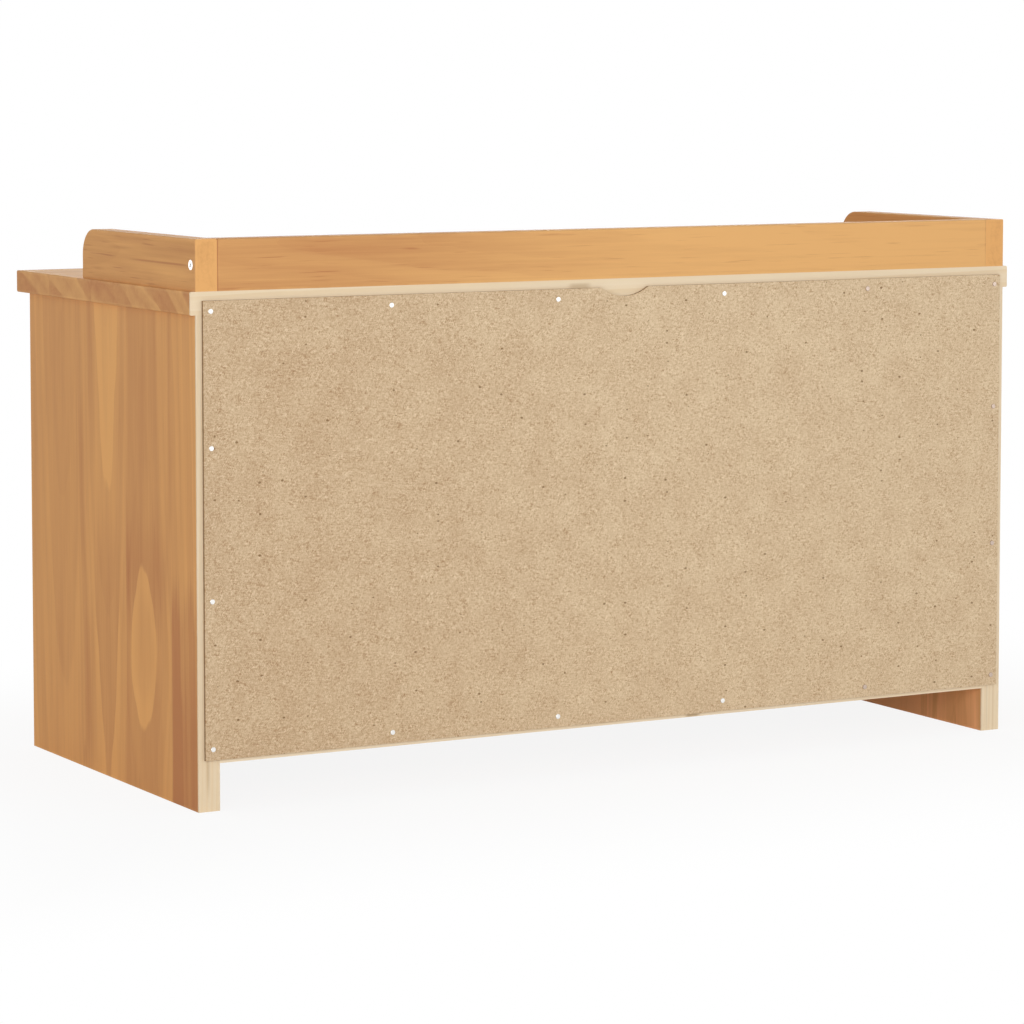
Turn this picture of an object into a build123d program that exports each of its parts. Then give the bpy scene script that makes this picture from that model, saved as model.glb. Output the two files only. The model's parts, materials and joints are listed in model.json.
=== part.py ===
from build123d import *
import os

# Hall bench: a pine cabinet with a seat board on top and a low gallery round the back of the seat.
# Millimetres, +Z up. The front faces -Y, and the origin is on the floor, midway across the overall box.

# Boards
board_thickness = 18.0
arris_radius = 1.2

# Carcass
inner_width = 720.0
side_depth = 333.0
seat_height = 400.0
seat_side_overhang = 4.5
seat_front_overhang = 17.0
toe_gap = 37.0

# Gallery round the back of the seat
gallery_height = 40.0
gallery_length = 219.0
gallery_corner_radius = 21.0

# Hardboard back, nailed on the raw back edges, which stay bare by these reveals
back_thickness = 3.0
back_side_reveal = 5.0
back_top_reveal = 7.0
back_bottom_reveal = 3.0
notch_width = 44.0
notch_depth = 7.3
notch_shoulder_radius = 2.5

# Nails, driven by hand: the drifts are how far each stands from an even spacing
nail_diameter = 1.6
nail_length = 20.0
nail_head_diameter = 4.0
nail_head_height = 0.8
nail_side_inset = 11.0
nail_seat_drop = 15.0
nail_bottom_rise = 11.6
nail_row_drifts = [0.0, -8.0, -11.0, -21.0, -16.0, 0.0]
nail_column_drifts = [7.5, 2.0]

# Dowels and cam fittings between the boards
dowel_diameter = 8.0
dowel_length = 30.0
dowel_face_depth = 8.0
dowel_chamfer = 0.8
cam_edge_distance = 60.0
dowel_edge_distance = 92.0
cam_diameter = 15.0
cam_depth = 13.0
cam_setback = 34.0
cam_slot_play = 0.4
cam_drive_length = 9.0
cam_drive_width = 1.4
cam_drive_depth = 1.6
bolt_diameter = 6.0
bolt_neck_diameter = 4.0
bolt_neck_length = 4.0
bolt_head_length = 3.0
bolt_thread_diameter = 5.0
bolt_thread_length = 9.5
gallery_dowel_back_distance = 40.0
gallery_dowel_front_distance = 38.0

# Screws: diameter, length and head diameter of each kind
corner_screw_size = (4.0, 50.0, 8.0)
gallery_screw_size = (4.0, 45.0, 8.0)
hinge_screw_size = (3.0, 14.0, 5.8)
catch_screw_size = (3.0, 12.0, 5.8)
gallery_screw_spacing = 150.0

# Loose shelf on four pins
shelf_thickness = 18.0
shelf_end_gap = 1.0
shelf_back_gap = 2.0
shelf_setback = 30.0
shelf_clear_height = 154.0
shelf_pin_diameter = 5.0
shelf_pin_grip = 8.0
shelf_pin_edge_distance = 45.0
shelf_pin_reach = 12.0
shelf_pin_width = 10.0
shelf_pin_plate = 2.0

# Two inset doors, each a grooved frame round a floating panel
door_thickness = 18.0
door_gap = 2.0
meeting_gap = 3.0
stile_width = 55.0
rail_width = 55.0
panel_thickness = 8.0
panel_play = 1.5
groove_depth = 10.0
field_start = 5.0
field_margin = 30.0
field_height = 3.0

# Butt hinges
hinge_height = 50.0
hinge_end_distance = 45.0
leaf_width = 14.0
leaf_thickness = 1.5
pin_diameter = 2.6
pin_head_diameter = 4.2
pin_head_height = 1.0
pin_clearance = 0.05
knuckle_gap = 0.3
hinge_screw_end_distance = 9.0

# Turned knobs, each held by a screw from inside the door
knob_diameter = 30.0
knob_length = 25.0
knob_foot_diameter = 17.0
knob_waist_diameter = 13.0
knob_dome_height = 8.0
knob_rim_band = 2.5
knob_screw_diameter = 4.0
knob_screw_grip = 12.0
knob_screw_head_diameter = 8.0
knob_screw_head_height = 2.4

# Magnetic catches under the seat, and the strike plates on the doors
catch_width = 46.0
catch_body_width = 28.0
catch_depth = 13.0
catch_height = 15.0
catch_flange = 2.5
catch_gap = 0.4
magnet_width = 20.0
magnet_height = 7.0
magnet_depth = 6.0
strike_width = 30.0
strike_height = 11.0
strike_thickness = 1.0

# Places worked out from the sizes above
half_inner = inner_width / 2
half_outer = half_inner + board_thickness
side_middle = half_inner + board_thickness / 2
seat_underside = seat_height - board_thickness
bottom_top = toe_gap + board_thickness
gallery_top = seat_height + gallery_height
front_reach = max(knob_length, seat_front_overhang)
back_reach = back_thickness + nail_head_height
back_y = (side_depth + front_reach - back_reach) / 2
front_y = back_y - side_depth
middle_y = back_y - side_depth / 2
back_edge_middle = back_y - board_thickness / 2
hands = {"left": -1, "right": 1}

os.makedirs("parts", exist_ok=True)


def save(piece, name):
    piece.part.label = name
    export_step(piece.part, f"parts/{name}.step")


# Fasteners are made once, head outwards along +Z with the seating face at zero, and set in place later.
def countersunk_screw(diameter, length, head_diameter):
    head_depth = (head_diameter - diameter) / 2
    with BuildPart() as screw:
        with BuildSketch(Plane.XZ):
            with BuildLine():
                Polyline(
                    (0, 0),
                    (head_diameter / 2, 0),
                    (diameter / 2, -head_depth),
                    (diameter / 2, diameter - length),
                    (0, -length),
                    close=True,
                )
            make_face()
        revolve(axis=Axis.Z)
    return screw.part


def headed_pin(diameter, length, head_diameter, head_height):
    with BuildPart() as pin:
        with BuildSketch(Plane.XZ):
            with BuildLine():
                Polyline(
                    (0, head_height),
                    (head_diameter / 2, head_height),
                    (head_diameter / 2, 0),
                    (diameter / 2, 0),
                    (diameter / 2, diameter - length),
                    (0, -length),
                    close=True,
                )
            make_face()
        revolve(axis=Axis.Z)
    return pin.part


def facing(point, outward, across=None):
    return Plane(origin=point, x_dir=across, z_dir=outward)


nail = headed_pin(nail_diameter, nail_length, nail_head_diameter, nail_head_height)
corner_screw = countersunk_screw(*corner_screw_size)
gallery_screw = countersunk_screw(*gallery_screw_size)
hinge_screw = countersunk_screw(*hinge_screw_size)
catch_screw = countersunk_screw(*catch_screw_size)
knob_screw = headed_pin(
    knob_screw_diameter,
    door_thickness + knob_screw_grip,
    knob_screw_head_diameter,
    knob_screw_head_height,
)

# A dowel stands across a joint: a short end in the face of one board, the rest in the edge of the other.
with BuildPart() as dowel:
    with BuildSketch(Plane.XY.offset(dowel_face_depth - dowel_length)):
        Circle(dowel_diameter / 2)
    extrude(amount=dowel_length)
    chamfer(dowel.edges().filter_by(GeomType.CIRCLE), dowel_chamfer)

with BuildPart() as dowel_hole:
    with BuildSketch(Plane.XY.offset(dowel_face_depth - dowel_length)):
        Circle(dowel_diameter / 2)
    extrude(amount=dowel_length)

# A cam bolt screws into a face, along +Z, and its head hangs in the cam set back in the other board's edge.
bolt_tip = cam_setback + bolt_head_length / 2
with BuildPart() as cam_bolt:
    with BuildSketch(Plane.XZ):
        with BuildLine():
            Polyline(
                (0, bolt_thread_length),
                (bolt_thread_diameter / 2, bolt_thread_length),
                (bolt_thread_diameter / 2, 0),
                (bolt_diameter / 2, 0),
                (bolt_diameter / 2, bolt_head_length + bolt_neck_length - bolt_tip),
                (bolt_neck_diameter / 2, bolt_head_length + bolt_neck_length - bolt_tip),
                (bolt_neck_diameter / 2, bolt_head_length - bolt_tip),
                (bolt_diameter / 2, bolt_head_length - bolt_tip),
                (bolt_diameter / 2, -bolt_tip),
                (0, -bolt_tip),
                close=True,
            )
        make_face()
    revolve(axis=Axis.Z)

with BuildPart() as bolt_hole:
    with BuildSketch(Plane.XY.offset(-bolt_tip)):
        Circle(bolt_diameter / 2)
    extrude(amount=bolt_tip)
    with BuildSketch():
        Circle(bolt_thread_diameter / 2)
    extrude(amount=bolt_thread_length)

# The cam's drive slot shows at +Z, and its local +X points along the bolt to the joint.
with BuildPart() as cam_lock:
    with BuildSketch(Plane.XY.offset(-cam_depth)):
        Circle(cam_diameter / 2)
    extrude(amount=cam_depth)
    with Locations((cam_diameter / 2 - bolt_head_length / 2, 0, -board_thickness / 2)):
        slot_width = bolt_diameter + 2 * cam_slot_play
        Box(cam_diameter, slot_width, slot_width, mode=Mode.SUBTRACT)
    with Locations((0, 0, -cam_drive_depth / 2)):
        Box(cam_drive_width, cam_drive_length, cam_drive_depth, mode=Mode.SUBTRACT)

with BuildPart() as cam_bore:
    with BuildSketch(Plane.XY.offset(-cam_depth)):
        Circle(cam_diameter / 2)
    extrude(amount=cam_depth)

# Places of the fasteners
cam_ys = [front_y + cam_edge_distance, back_y - cam_edge_distance]
dowel_ys = [front_y + dowel_edge_distance, back_y - dowel_edge_distance]
bottom_middle = toe_gap + board_thickness / 2


def seat_joints(hand, ys):
    return [facing((hand * side_middle, y, seat_underside), (0, 0, 1)) for y in ys]


def bottom_joints(hand, ys):
    return [facing((hand * half_inner, y, bottom_middle), (hand, 0, 0)) for y in ys]


def seat_cams(hand):
    height = seat_underside - cam_setback
    return [facing((hand * half_inner, y, height), (-hand, 0, 0), (0, 0, 1)) for y in cam_ys]


def bottom_cams(hand):
    reach = half_inner - cam_setback
    return [facing((hand * reach, y, toe_gap), (0, 0, -1), (hand, 0, 0)) for y in cam_ys]


def gallery_dowel_places(hand):
    front = back_y - gallery_length + gallery_dowel_front_distance
    back = back_y - gallery_dowel_back_distance
    return [facing((hand * side_middle, y, seat_height), (0, 0, -1)) for y in (front, back)]


def corner_screw_place(hand):
    height = seat_height + gallery_height / 2
    return facing((hand * half_outer, back_edge_middle, height), (hand, 0, 0))


gallery_screw_xs = [-gallery_screw_spacing, 0.0, gallery_screw_spacing]
gallery_screw_places = [facing((x, back_edge_middle, seat_underside), (0, 0, -1)) for x in gallery_screw_xs]

nail_end_x = half_outer - nail_side_inset
nail_top_z = seat_height - nail_seat_drop
nail_bottom_z = toe_gap + nail_bottom_rise
nail_step_x = 2 * nail_end_x / (len(nail_row_drifts) - 1)
nail_step_z = (nail_top_z - nail_bottom_z) / (len(nail_column_drifts) + 1)
nail_row_xs = [nail_end_x - i * nail_step_x + drift for i, drift in enumerate(nail_row_drifts)]
nail_column_zs = [nail_top_z - (i + 1) * nail_step_z + drift for i, drift in enumerate(nail_column_drifts)]
nail_spots = [(x, z) for z in (nail_top_z, nail_bottom_z) for x in nail_row_xs]
nail_spots += [(x, z) for x in (nail_end_x, -nail_end_x) for z in nail_column_zs]
nail_places = [facing((x, back_y + back_thickness, z), (0, 1, 0)) for x, z in nail_spots]

# Doors and their hardware
door_bottom = bottom_top + door_gap
door_top = seat_underside - door_gap
door_height = door_top - door_bottom
door_width = half_inner - door_gap - meeting_gap / 2
door_back_y = front_y + door_thickness
door_middle_y = front_y + door_thickness / 2
door_middle_x = half_inner - door_gap - door_width / 2
door_middle_z = (door_bottom + door_top) / 2
panel_opening_width = door_width - 2 * stile_width
panel_opening_height = door_height - 2 * rail_width
rail_length = panel_opening_width + 2 * groove_depth
hinge_stile_x = half_inner - door_gap - stile_width / 2
meeting_stile_x = meeting_gap / 2 + stile_width / 2

knuckle_radius = door_gap / 2 + leaf_thickness
pin_x = half_inner - door_gap / 2
pin_y = front_y - knuckle_radius - knuckle_gap
hinge_bottoms = [door_bottom + hinge_end_distance, door_top - hinge_end_distance - hinge_height]
leaf_end_y = pin_y + leaf_width
leaf_middle_y = (front_y + leaf_end_y) / 2
hinge_screw_heights = [hinge_screw_end_distance, hinge_height - hinge_screw_end_distance]
hinge_screw_zs = [bottom + height for bottom in hinge_bottoms for height in hinge_screw_heights]

catch_front_y = door_back_y + strike_thickness + catch_gap
catch_middle_y = catch_front_y + catch_depth / 2
catch_body_middle_z = seat_underside - (catch_flange + catch_height) / 2
catch_ear_x = (catch_width + catch_body_width) / 4


def frame_hinge_screw_places(hand):
    x = hand * half_inner
    return [facing((x, leaf_middle_y, z), (-hand, 0, 0)) for z in hinge_screw_zs]


def door_hinge_screw_places(hand):
    x = hand * (half_inner - door_gap)
    return [facing((x, leaf_middle_y, z), (hand, 0, 0)) for z in hinge_screw_zs]


def hinge_mortise_middles(x):
    return [(x, leaf_middle_y, bottom + hinge_height / 2) for bottom in hinge_bottoms]


def catch_screw_places(hand):
    height = seat_underside - catch_flange
    xs = [hand * meeting_stile_x - catch_ear_x, hand * meeting_stile_x + catch_ear_x]
    return [facing((x, catch_middle_y, height), (0, 0, -1)) for x in xs]


def strike_screw_place(hand):
    return facing((hand * meeting_stile_x, door_back_y + strike_thickness, catch_body_middle_z), (0, 1, 0))


def knob_screw_place(hand):
    return facing((hand * meeting_stile_x, door_back_y, door_middle_z), (0, 1, 0))


# Shelf
shelf_front_y = door_back_y + shelf_setback
shelf_back_y = back_y - shelf_back_gap
shelf_underside = bottom_top + shelf_clear_height
shelf_pin_ys = [shelf_front_y + shelf_pin_edge_distance, shelf_back_y - shelf_pin_edge_distance]


def shelf_pin_places(hand):
    return [facing((hand * half_inner, y, shelf_underside), (hand, 0, 0), (0, 1, 0)) for y in shelf_pin_ys]


# The peg's local +Z goes into the side panel and its local X runs along the panel.
# The shelf lies on the tab, at height zero, and a back plate hangs below the tab against the panel.
def shelf_pin(hand):
    down = -hand
    with BuildPart() as pin:
        with Locations((0, down * shelf_pin_plate / 2, -shelf_pin_reach / 2)):
            Box(shelf_pin_width, shelf_pin_plate, shelf_pin_reach)
        with Locations((0, down * shelf_pin_width / 2, -shelf_pin_plate / 2)):
            Box(shelf_pin_width, shelf_pin_width, shelf_pin_plate)
        with Locations((0, down * shelf_pin_width / 2, shelf_pin_grip / 2)):
            Cylinder(shelf_pin_diameter / 2, shelf_pin_grip)
    return pin.part


shelf_pin_blanks = {hand: shelf_pin(hand) for hand in hands.values()}

# Side panels stand on the floor, with only their front arrises eased.
for side, hand in hands.items():
    with BuildPart() as side_panel:
        with BuildSketch():
            with Locations((hand * side_middle, middle_y)):
                Rectangle(board_thickness, side_depth)
        extrude(amount=seat_underside)
        fillet(side_panel.edges().group_by(Axis.Y)[0], arris_radius)
        with Locations(*seat_joints(hand, dowel_ys), *bottom_joints(hand, dowel_ys)):
            add(dowel_hole.part, mode=Mode.SUBTRACT)
        with Locations(*seat_joints(hand, cam_ys), *bottom_joints(hand, cam_ys)):
            add(bolt_hole.part, mode=Mode.SUBTRACT)
        with Locations(*seat_cams(hand)):
            add(cam_bore.part, mode=Mode.SUBTRACT)
        with Locations(*nail_places):
            add(nail, mode=Mode.SUBTRACT)
        with Locations(*shelf_pin_places(hand)):
            add(shelf_pin_blanks[hand], mode=Mode.SUBTRACT)
        with Locations(*hinge_mortise_middles(hand * (half_inner + leaf_thickness / 2))):
            Box(leaf_thickness, leaf_end_y - front_y, hinge_height, mode=Mode.SUBTRACT)
        with Locations(*frame_hinge_screw_places(hand)):
            add(hinge_screw, mode=Mode.SUBTRACT)
    save(side_panel, f"{side}_side_panel")

# The seat lies on the side panels and overhangs them and the front.
seat_width = 2 * (half_outer + seat_side_overhang)
seat_depth = side_depth + seat_front_overhang
with BuildPart() as seat_board:
    with BuildSketch(Plane.XY.offset(seat_underside)):
        with Locations((0, back_y - seat_depth / 2)):
            Rectangle(seat_width, seat_depth)
    extrude(amount=board_thickness)
    eased = seat_board.edges().group_by(Axis.Y)[0] + seat_board.edges().filter_by(Axis.Y)
    fillet(eased, arris_radius)
    for hand in hands.values():
        with Locations(*seat_joints(hand, dowel_ys), *gallery_dowel_places(hand)):
            add(dowel_hole.part, mode=Mode.SUBTRACT)
        with Locations(*seat_joints(hand, cam_ys)):
            add(bolt_hole.part, mode=Mode.SUBTRACT)
        with Locations(*catch_screw_places(hand)):
            add(catch_screw, mode=Mode.SUBTRACT)
    with Locations(*gallery_screw_places):
        add(gallery_screw, mode=Mode.SUBTRACT)
    with Locations(*nail_places):
        add(nail, mode=Mode.SUBTRACT)
save(seat_board, "seat_board")

# The bottom board is held between the side panels.
with BuildPart() as bottom_board:
    with BuildSketch(Plane.XY.offset(toe_gap)):
        with Locations((0, middle_y)):
            Rectangle(inner_width, side_depth)
    extrude(amount=board_thickness)
    fillet(bottom_board.edges().group_by(Axis.Y)[0].filter_by(Axis.X), arris_radius)
    for hand in hands.values():
        with Locations(*bottom_joints(hand, dowel_ys)):
            add(dowel_hole.part, mode=Mode.SUBTRACT)
        with Locations(*bottom_joints(hand, cam_ys)):
            add(bolt_hole.part, mode=Mode.SUBTRACT)
        with Locations(*bottom_cams(hand)):
            add(cam_bore.part, mode=Mode.SUBTRACT)
    with Locations(*nail_places):
        add(nail, mode=Mode.SUBTRACT)
save(bottom_board, "bottom_board")

# The hardboard back has a finger notch in its top edge.
back_bottom = toe_gap + back_bottom_reveal
back_top = seat_height - back_top_reveal
notch_radius = ((notch_width / 2) ** 2 + notch_depth**2) / (2 * notch_depth)
with BuildPart() as back_panel:
    with BuildSketch(Plane.XZ.offset(-back_y - back_thickness)) as back_outline:
        with Locations((0, (back_bottom + back_top) / 2)):
            Rectangle(2 * (half_outer - back_side_reveal), back_top - back_bottom)
        with Locations((0, back_top - notch_depth + notch_radius)):
            Circle(notch_radius, mode=Mode.SUBTRACT)
        shoulders = back_outline.vertices().group_by(Axis.Y)[-1].sort_by(Axis.X)[1:3]
        fillet(shoulders, notch_shoulder_radius)
    extrude(amount=back_thickness)
    with Locations(*nail_places):
        add(nail, mode=Mode.SUBTRACT)
save(back_panel, "back_panel")

with BuildPart() as back_panel_nails:
    with Locations(*nail_places):
        add(nail)
save(back_panel_nails, "back_panel_nails")

# Gallery sides stand over the side panels, each with its front upper corner rounded.
for side, hand in hands.items():
    with BuildPart() as gallery_side:
        with BuildSketch(Plane.YZ.offset(hand * side_middle)) as gallery_outline:
            with Locations((back_y - gallery_length / 2, seat_height + gallery_height / 2)):
                Rectangle(gallery_length, gallery_height)
            front_corner = gallery_outline.vertices().group_by(Axis.Y)[-1].sort_by(Axis.X)[0]
            fillet(front_corner, gallery_corner_radius)
        extrude(amount=board_thickness / 2, both=True)
        face_edges = gallery_side.edges().group_by(Axis.X)[0] + gallery_side.edges().group_by(Axis.X)[-1]
        face_edges = face_edges.filter_by_position(Axis.Z, seat_height + arris_radius, gallery_top)
        face_edges = face_edges.filter_by_position(Axis.Y, front_y, back_y - arris_radius)
        fillet(face_edges, arris_radius)
        with Locations(*gallery_dowel_places(hand)):
            add(dowel_hole.part, mode=Mode.SUBTRACT)
        with Locations(corner_screw_place(hand)):
            add(corner_screw, mode=Mode.SUBTRACT)
    save(gallery_side, f"{side}_gallery_side")

with BuildPart() as gallery_back:
    with BuildSketch(Plane.XY.offset(seat_height)):
        with Locations((0, back_edge_middle)):
            Rectangle(inner_width, board_thickness)
    extrude(amount=gallery_height)
    fillet(gallery_back.edges().filter_by(Axis.X).group_by(Axis.Z)[-1], arris_radius)
    with Locations(*[corner_screw_place(hand) for hand in hands.values()]):
        add(corner_screw, mode=Mode.SUBTRACT)
    with Locations(*gallery_screw_places):
        add(gallery_screw, mode=Mode.SUBTRACT)
save(gallery_back, "gallery_back")

with BuildPart() as gallery_corner_screws:
    with Locations(*[corner_screw_place(hand) for hand in hands.values()]):
        add(corner_screw)
save(gallery_corner_screws, "gallery_corner_screws")

with BuildPart() as gallery_seat_screws:
    with Locations(*gallery_screw_places):
        add(gallery_screw)
save(gallery_seat_screws, "gallery_seat_screws")

with BuildPart() as gallery_dowels:
    with Locations(*gallery_dowel_places(-1), *gallery_dowel_places(1)):
        add(dowel.part)
save(gallery_dowels, "gallery_dowels")

# Knock-down fittings of the seat and of the bottom board
fittings = {
    "seat_dowels": (dowel, seat_joints(-1, dowel_ys) + seat_joints(1, dowel_ys)),
    "seat_cam_bolts": (cam_bolt, seat_joints(-1, cam_ys) + seat_joints(1, cam_ys)),
    "seat_cam_locks": (cam_lock, seat_cams(-1) + seat_cams(1)),
    "bottom_dowels": (dowel, bottom_joints(-1, dowel_ys) + bottom_joints(1, dowel_ys)),
    "bottom_cam_bolts": (cam_bolt, bottom_joints(-1, cam_ys) + bottom_joints(1, cam_ys)),
    "bottom_cam_locks": (cam_lock, bottom_cams(-1) + bottom_cams(1)),
}
for name, (blank, places) in fittings.items():
    with BuildPart() as fitting:
        with Locations(*places):
            add(blank.part)
    save(fitting, name)

# The shelf lies loose on its pins.
with BuildPart() as shelf:
    with BuildSketch(Plane.XY.offset(shelf_underside)):
        with Locations((0, (shelf_front_y + shelf_back_y) / 2)):
            Rectangle(inner_width - 2 * shelf_end_gap, shelf_back_y - shelf_front_y)
    extrude(amount=shelf_thickness)
    fillet(shelf.edges().group_by(Axis.Y)[0].filter_by(Axis.X), arris_radius)
save(shelf, "shelf")

with BuildPart() as shelf_pins:
    for hand in hands.values():
        with Locations(*shelf_pin_places(hand)):
            add(shelf_pin_blanks[hand])
save(shelf_pins, "shelf_pins")


# A hinge leaf stands on height zero round the pin, with its plate on the +X side of the pin.
# It is cut away round the knuckles of the other leaf, and its own knuckles are bored for the pin.
def hinge_leaf(own_spans, other_spans, bore_radius):
    with BuildPart() as leaf:
        with BuildSketch():
            with Locations((door_gap / 2 + leaf_thickness / 2, leaf_width / 2)):
                Rectangle(leaf_thickness, leaf_width)
        extrude(amount=hinge_height)
        for low, high in other_spans:
            with BuildSketch(Plane.XY.offset(low - knuckle_gap)):
                Circle(knuckle_radius + knuckle_gap)
            extrude(amount=high - low + 2 * knuckle_gap, mode=Mode.SUBTRACT)
        for low, high in own_spans:
            with BuildSketch(Plane.XY.offset(low)):
                Circle(knuckle_radius)
            extrude(amount=high - low)
        with Locations((0, 0, hinge_height / 2)):
            Cylinder(bore_radius, hinge_height, mode=Mode.SUBTRACT)
        with Locations(*[(door_gap / 2, leaf_middle_y - pin_y, z) for z in hinge_screw_heights]):
            with Locations(facing((0, 0, 0), (-1, 0, 0))):
                add(hinge_screw, mode=Mode.SUBTRACT)
    return leaf.part


third = hinge_height / 3
frame_spans = [(0, third - knuckle_gap / 2), (2 * third + knuckle_gap / 2, hinge_height)]
door_spans = [(third + knuckle_gap / 2, 2 * third - knuckle_gap / 2)]
frame_leaf = hinge_leaf(frame_spans, door_spans, pin_diameter / 2)
door_leaf = hinge_leaf(door_spans, frame_spans, pin_diameter / 2 + pin_clearance)
frame_leaves = {1: frame_leaf, -1: frame_leaf.mirror(Plane.YZ)}
door_leaves = {-1: door_leaf, 1: door_leaf.mirror(Plane.YZ)}

# The pin is a press fit in the frame leaf, with a low head at each end.
with BuildPart() as hinge_pin:
    with BuildSketch():
        Circle(pin_diameter / 2)
    extrude(amount=hinge_height)
    for end in (-pin_head_height, hinge_height):
        with BuildSketch(Plane.XY.offset(end)):
            Circle(pin_head_diameter / 2)
        extrude(amount=pin_head_height)

# The knob is turned about its local Z, from its foot on the stile to its domed face.
knob_rim = knob_length - knob_dome_height
knob_dome_radius = ((knob_diameter / 2) ** 2 + knob_dome_height**2) / (2 * knob_dome_height)
with BuildPart() as knob:
    with BuildSketch(Plane.XZ):
        with BuildLine():
            Line((0, 0), (knob_foot_diameter / 2, 0))
            ThreePointArc(
                (knob_foot_diameter / 2, 0),
                (knob_waist_diameter / 2, (knob_rim - knob_rim_band) / 2),
                (knob_diameter / 2, knob_rim - knob_rim_band),
            )
            Line((knob_diameter / 2, knob_rim - knob_rim_band), (knob_diameter / 2, knob_rim))
            RadiusArc((knob_diameter / 2, knob_rim), (0, knob_length), -knob_dome_radius)
            Line((0, knob_length), (0, 0))
        make_face()
    revolve(axis=Axis.Z)

for side, hand in hands.items():
    hinge_places = [(hand * pin_x, pin_y, bottom) for bottom in hinge_bottoms]

    # Carcass halves of the hinges
    with BuildPart() as hinge_frame_leaves:
        with Locations(*hinge_places):
            add(frame_leaves[hand])
    save(hinge_frame_leaves, f"{side}_hinge_frame_leaves")

    with BuildPart() as hinge_pins:
        with Locations(*hinge_places):
            add(hinge_pin.part)
    save(hinge_pins, f"{side}_hinge_pins")

    with BuildPart() as hinge_frame_screws:
        with Locations(*frame_hinge_screw_places(hand)):
            add(hinge_screw)
    save(hinge_frame_screws, f"{side}_hinge_frame_screws")

    # Door halves of the hinges
    with BuildPart() as door_hinge_leaves:
        with Locations(*hinge_places):
            add(door_leaves[hand])
    save(door_hinge_leaves, f"{side}_door_hinge_leaves")

    with BuildPart() as door_hinge_screws:
        with Locations(*door_hinge_screw_places(hand)):
            add(hinge_screw)
    save(door_hinge_screws, f"{side}_door_hinge_screws")

    # Stiles run the whole height, each with a groove along its inner edge.
    with BuildPart() as hinge_stile:
        with BuildSketch(Plane.XY.offset(door_bottom)):
            with Locations((hand * hinge_stile_x, door_middle_y)):
                Rectangle(stile_width, door_thickness)
        extrude(amount=door_height)
        fillet(hinge_stile.edges().filter_by(Axis.Z).group_by(Axis.Y)[0], arris_radius)
        groove_x = hinge_stile_x - stile_width / 2 + groove_depth / 2
        with Locations((hand * groove_x, door_middle_y, door_middle_z)):
            Box(groove_depth, panel_thickness, door_height, mode=Mode.SUBTRACT)
        with Locations(*hinge_mortise_middles(hand * (half_inner - door_gap - leaf_thickness / 2))):
            Box(leaf_thickness, leaf_end_y - front_y, hinge_height, mode=Mode.SUBTRACT)
        with Locations(*door_hinge_screw_places(hand)):
            add(hinge_screw, mode=Mode.SUBTRACT)
    save(hinge_stile, f"{side}_door_hinge_stile")

    with BuildPart() as meeting_stile:
        with BuildSketch(Plane.XY.offset(door_bottom)):
            with Locations((hand * meeting_stile_x, door_middle_y)):
                Rectangle(stile_width, door_thickness)
        extrude(amount=door_height)
        fillet(meeting_stile.edges().filter_by(Axis.Z).group_by(Axis.Y)[0], arris_radius)
        groove_x = meeting_stile_x + stile_width / 2 - groove_depth / 2
        with Locations((hand * groove_x, door_middle_y, door_middle_z)):
            Box(groove_depth, panel_thickness, door_height, mode=Mode.SUBTRACT)
        with Locations(knob_screw_place(hand)):
            add(knob_screw, mode=Mode.SUBTRACT)
        with Locations(strike_screw_place(hand)):
            add(catch_screw, mode=Mode.SUBTRACT)
    save(meeting_stile, f"{side}_door_meeting_stile")

    # Rails have a tongue at each end for the stiles' grooves, and a groove of their own for the panel.
    for end, rail_z, inward in (
        ("top", door_top - rail_width / 2, -1),
        ("bottom", door_bottom + rail_width / 2, 1),
    ):
        with BuildPart() as rail:
            with BuildSketch(Plane.XY.offset(rail_z - rail_width / 2)):
                with Locations((hand * door_middle_x, door_middle_y)):
                    Rectangle(panel_opening_width, door_thickness)
            extrude(amount=rail_width)
            fillet(rail.edges().filter_by(Axis.X).group_by(Axis.Y)[0], arris_radius)
            with Locations((hand * door_middle_x, door_middle_y, rail_z)):
                Box(rail_length, panel_thickness, rail_width)
            groove_z = rail_z + inward * (rail_width - groove_depth) / 2
            with Locations((hand * door_middle_x, door_middle_y, groove_z)):
                Box(rail_length, panel_thickness, groove_depth, mode=Mode.SUBTRACT)
        save(rail, f"{side}_door_{end}_rail")

    # The panel floats in the grooves, and its raised field slopes up from the frame.
    panel_front = door_middle_y - panel_thickness / 2
    panel_reach = groove_depth - panel_play
    with BuildPart() as door_panel:
        with Locations((hand * door_middle_x, door_middle_y, door_middle_z)):
            Box(
                panel_opening_width + 2 * panel_reach,
                panel_thickness,
                panel_opening_height + 2 * panel_reach,
            )
        for rise, margin in ((0, field_start), (field_height, field_margin)):
            with BuildSketch(Plane.XZ.offset(rise - panel_front)):
                with Locations((hand * door_middle_x, door_middle_z)):
                    Rectangle(panel_opening_width - 2 * margin, panel_opening_height - 2 * margin)
        loft()
    save(door_panel, f"{side}_door_panel")

    # Knob and its screw
    with BuildPart() as door_knob:
        with Locations(facing((hand * meeting_stile_x, front_y, door_middle_z), (0, -1, 0))):
            add(knob.part)
        with Locations(knob_screw_place(hand)):
            add(knob_screw, mode=Mode.SUBTRACT)
    save(door_knob, f"{side}_door_knob")

    with BuildPart() as door_knob_screw:
        with Locations(knob_screw_place(hand)):
            add(knob_screw)
    save(door_knob_screw, f"{side}_door_knob_screw")

    # Strike plate on the back of the meeting stile
    with BuildPart() as strike_plate:
        with Locations((hand * meeting_stile_x, door_back_y + strike_thickness / 2, catch_body_middle_z)):
            Box(strike_width, strike_thickness, strike_height)
        with Locations(strike_screw_place(hand)):
            add(catch_screw, mode=Mode.SUBTRACT)
    save(strike_plate, f"{side}_door_strike_plate")

    with BuildPart() as strike_screw:
        with Locations(strike_screw_place(hand)):
            add(catch_screw)
    save(strike_screw, f"{side}_door_strike_screw")

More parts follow.
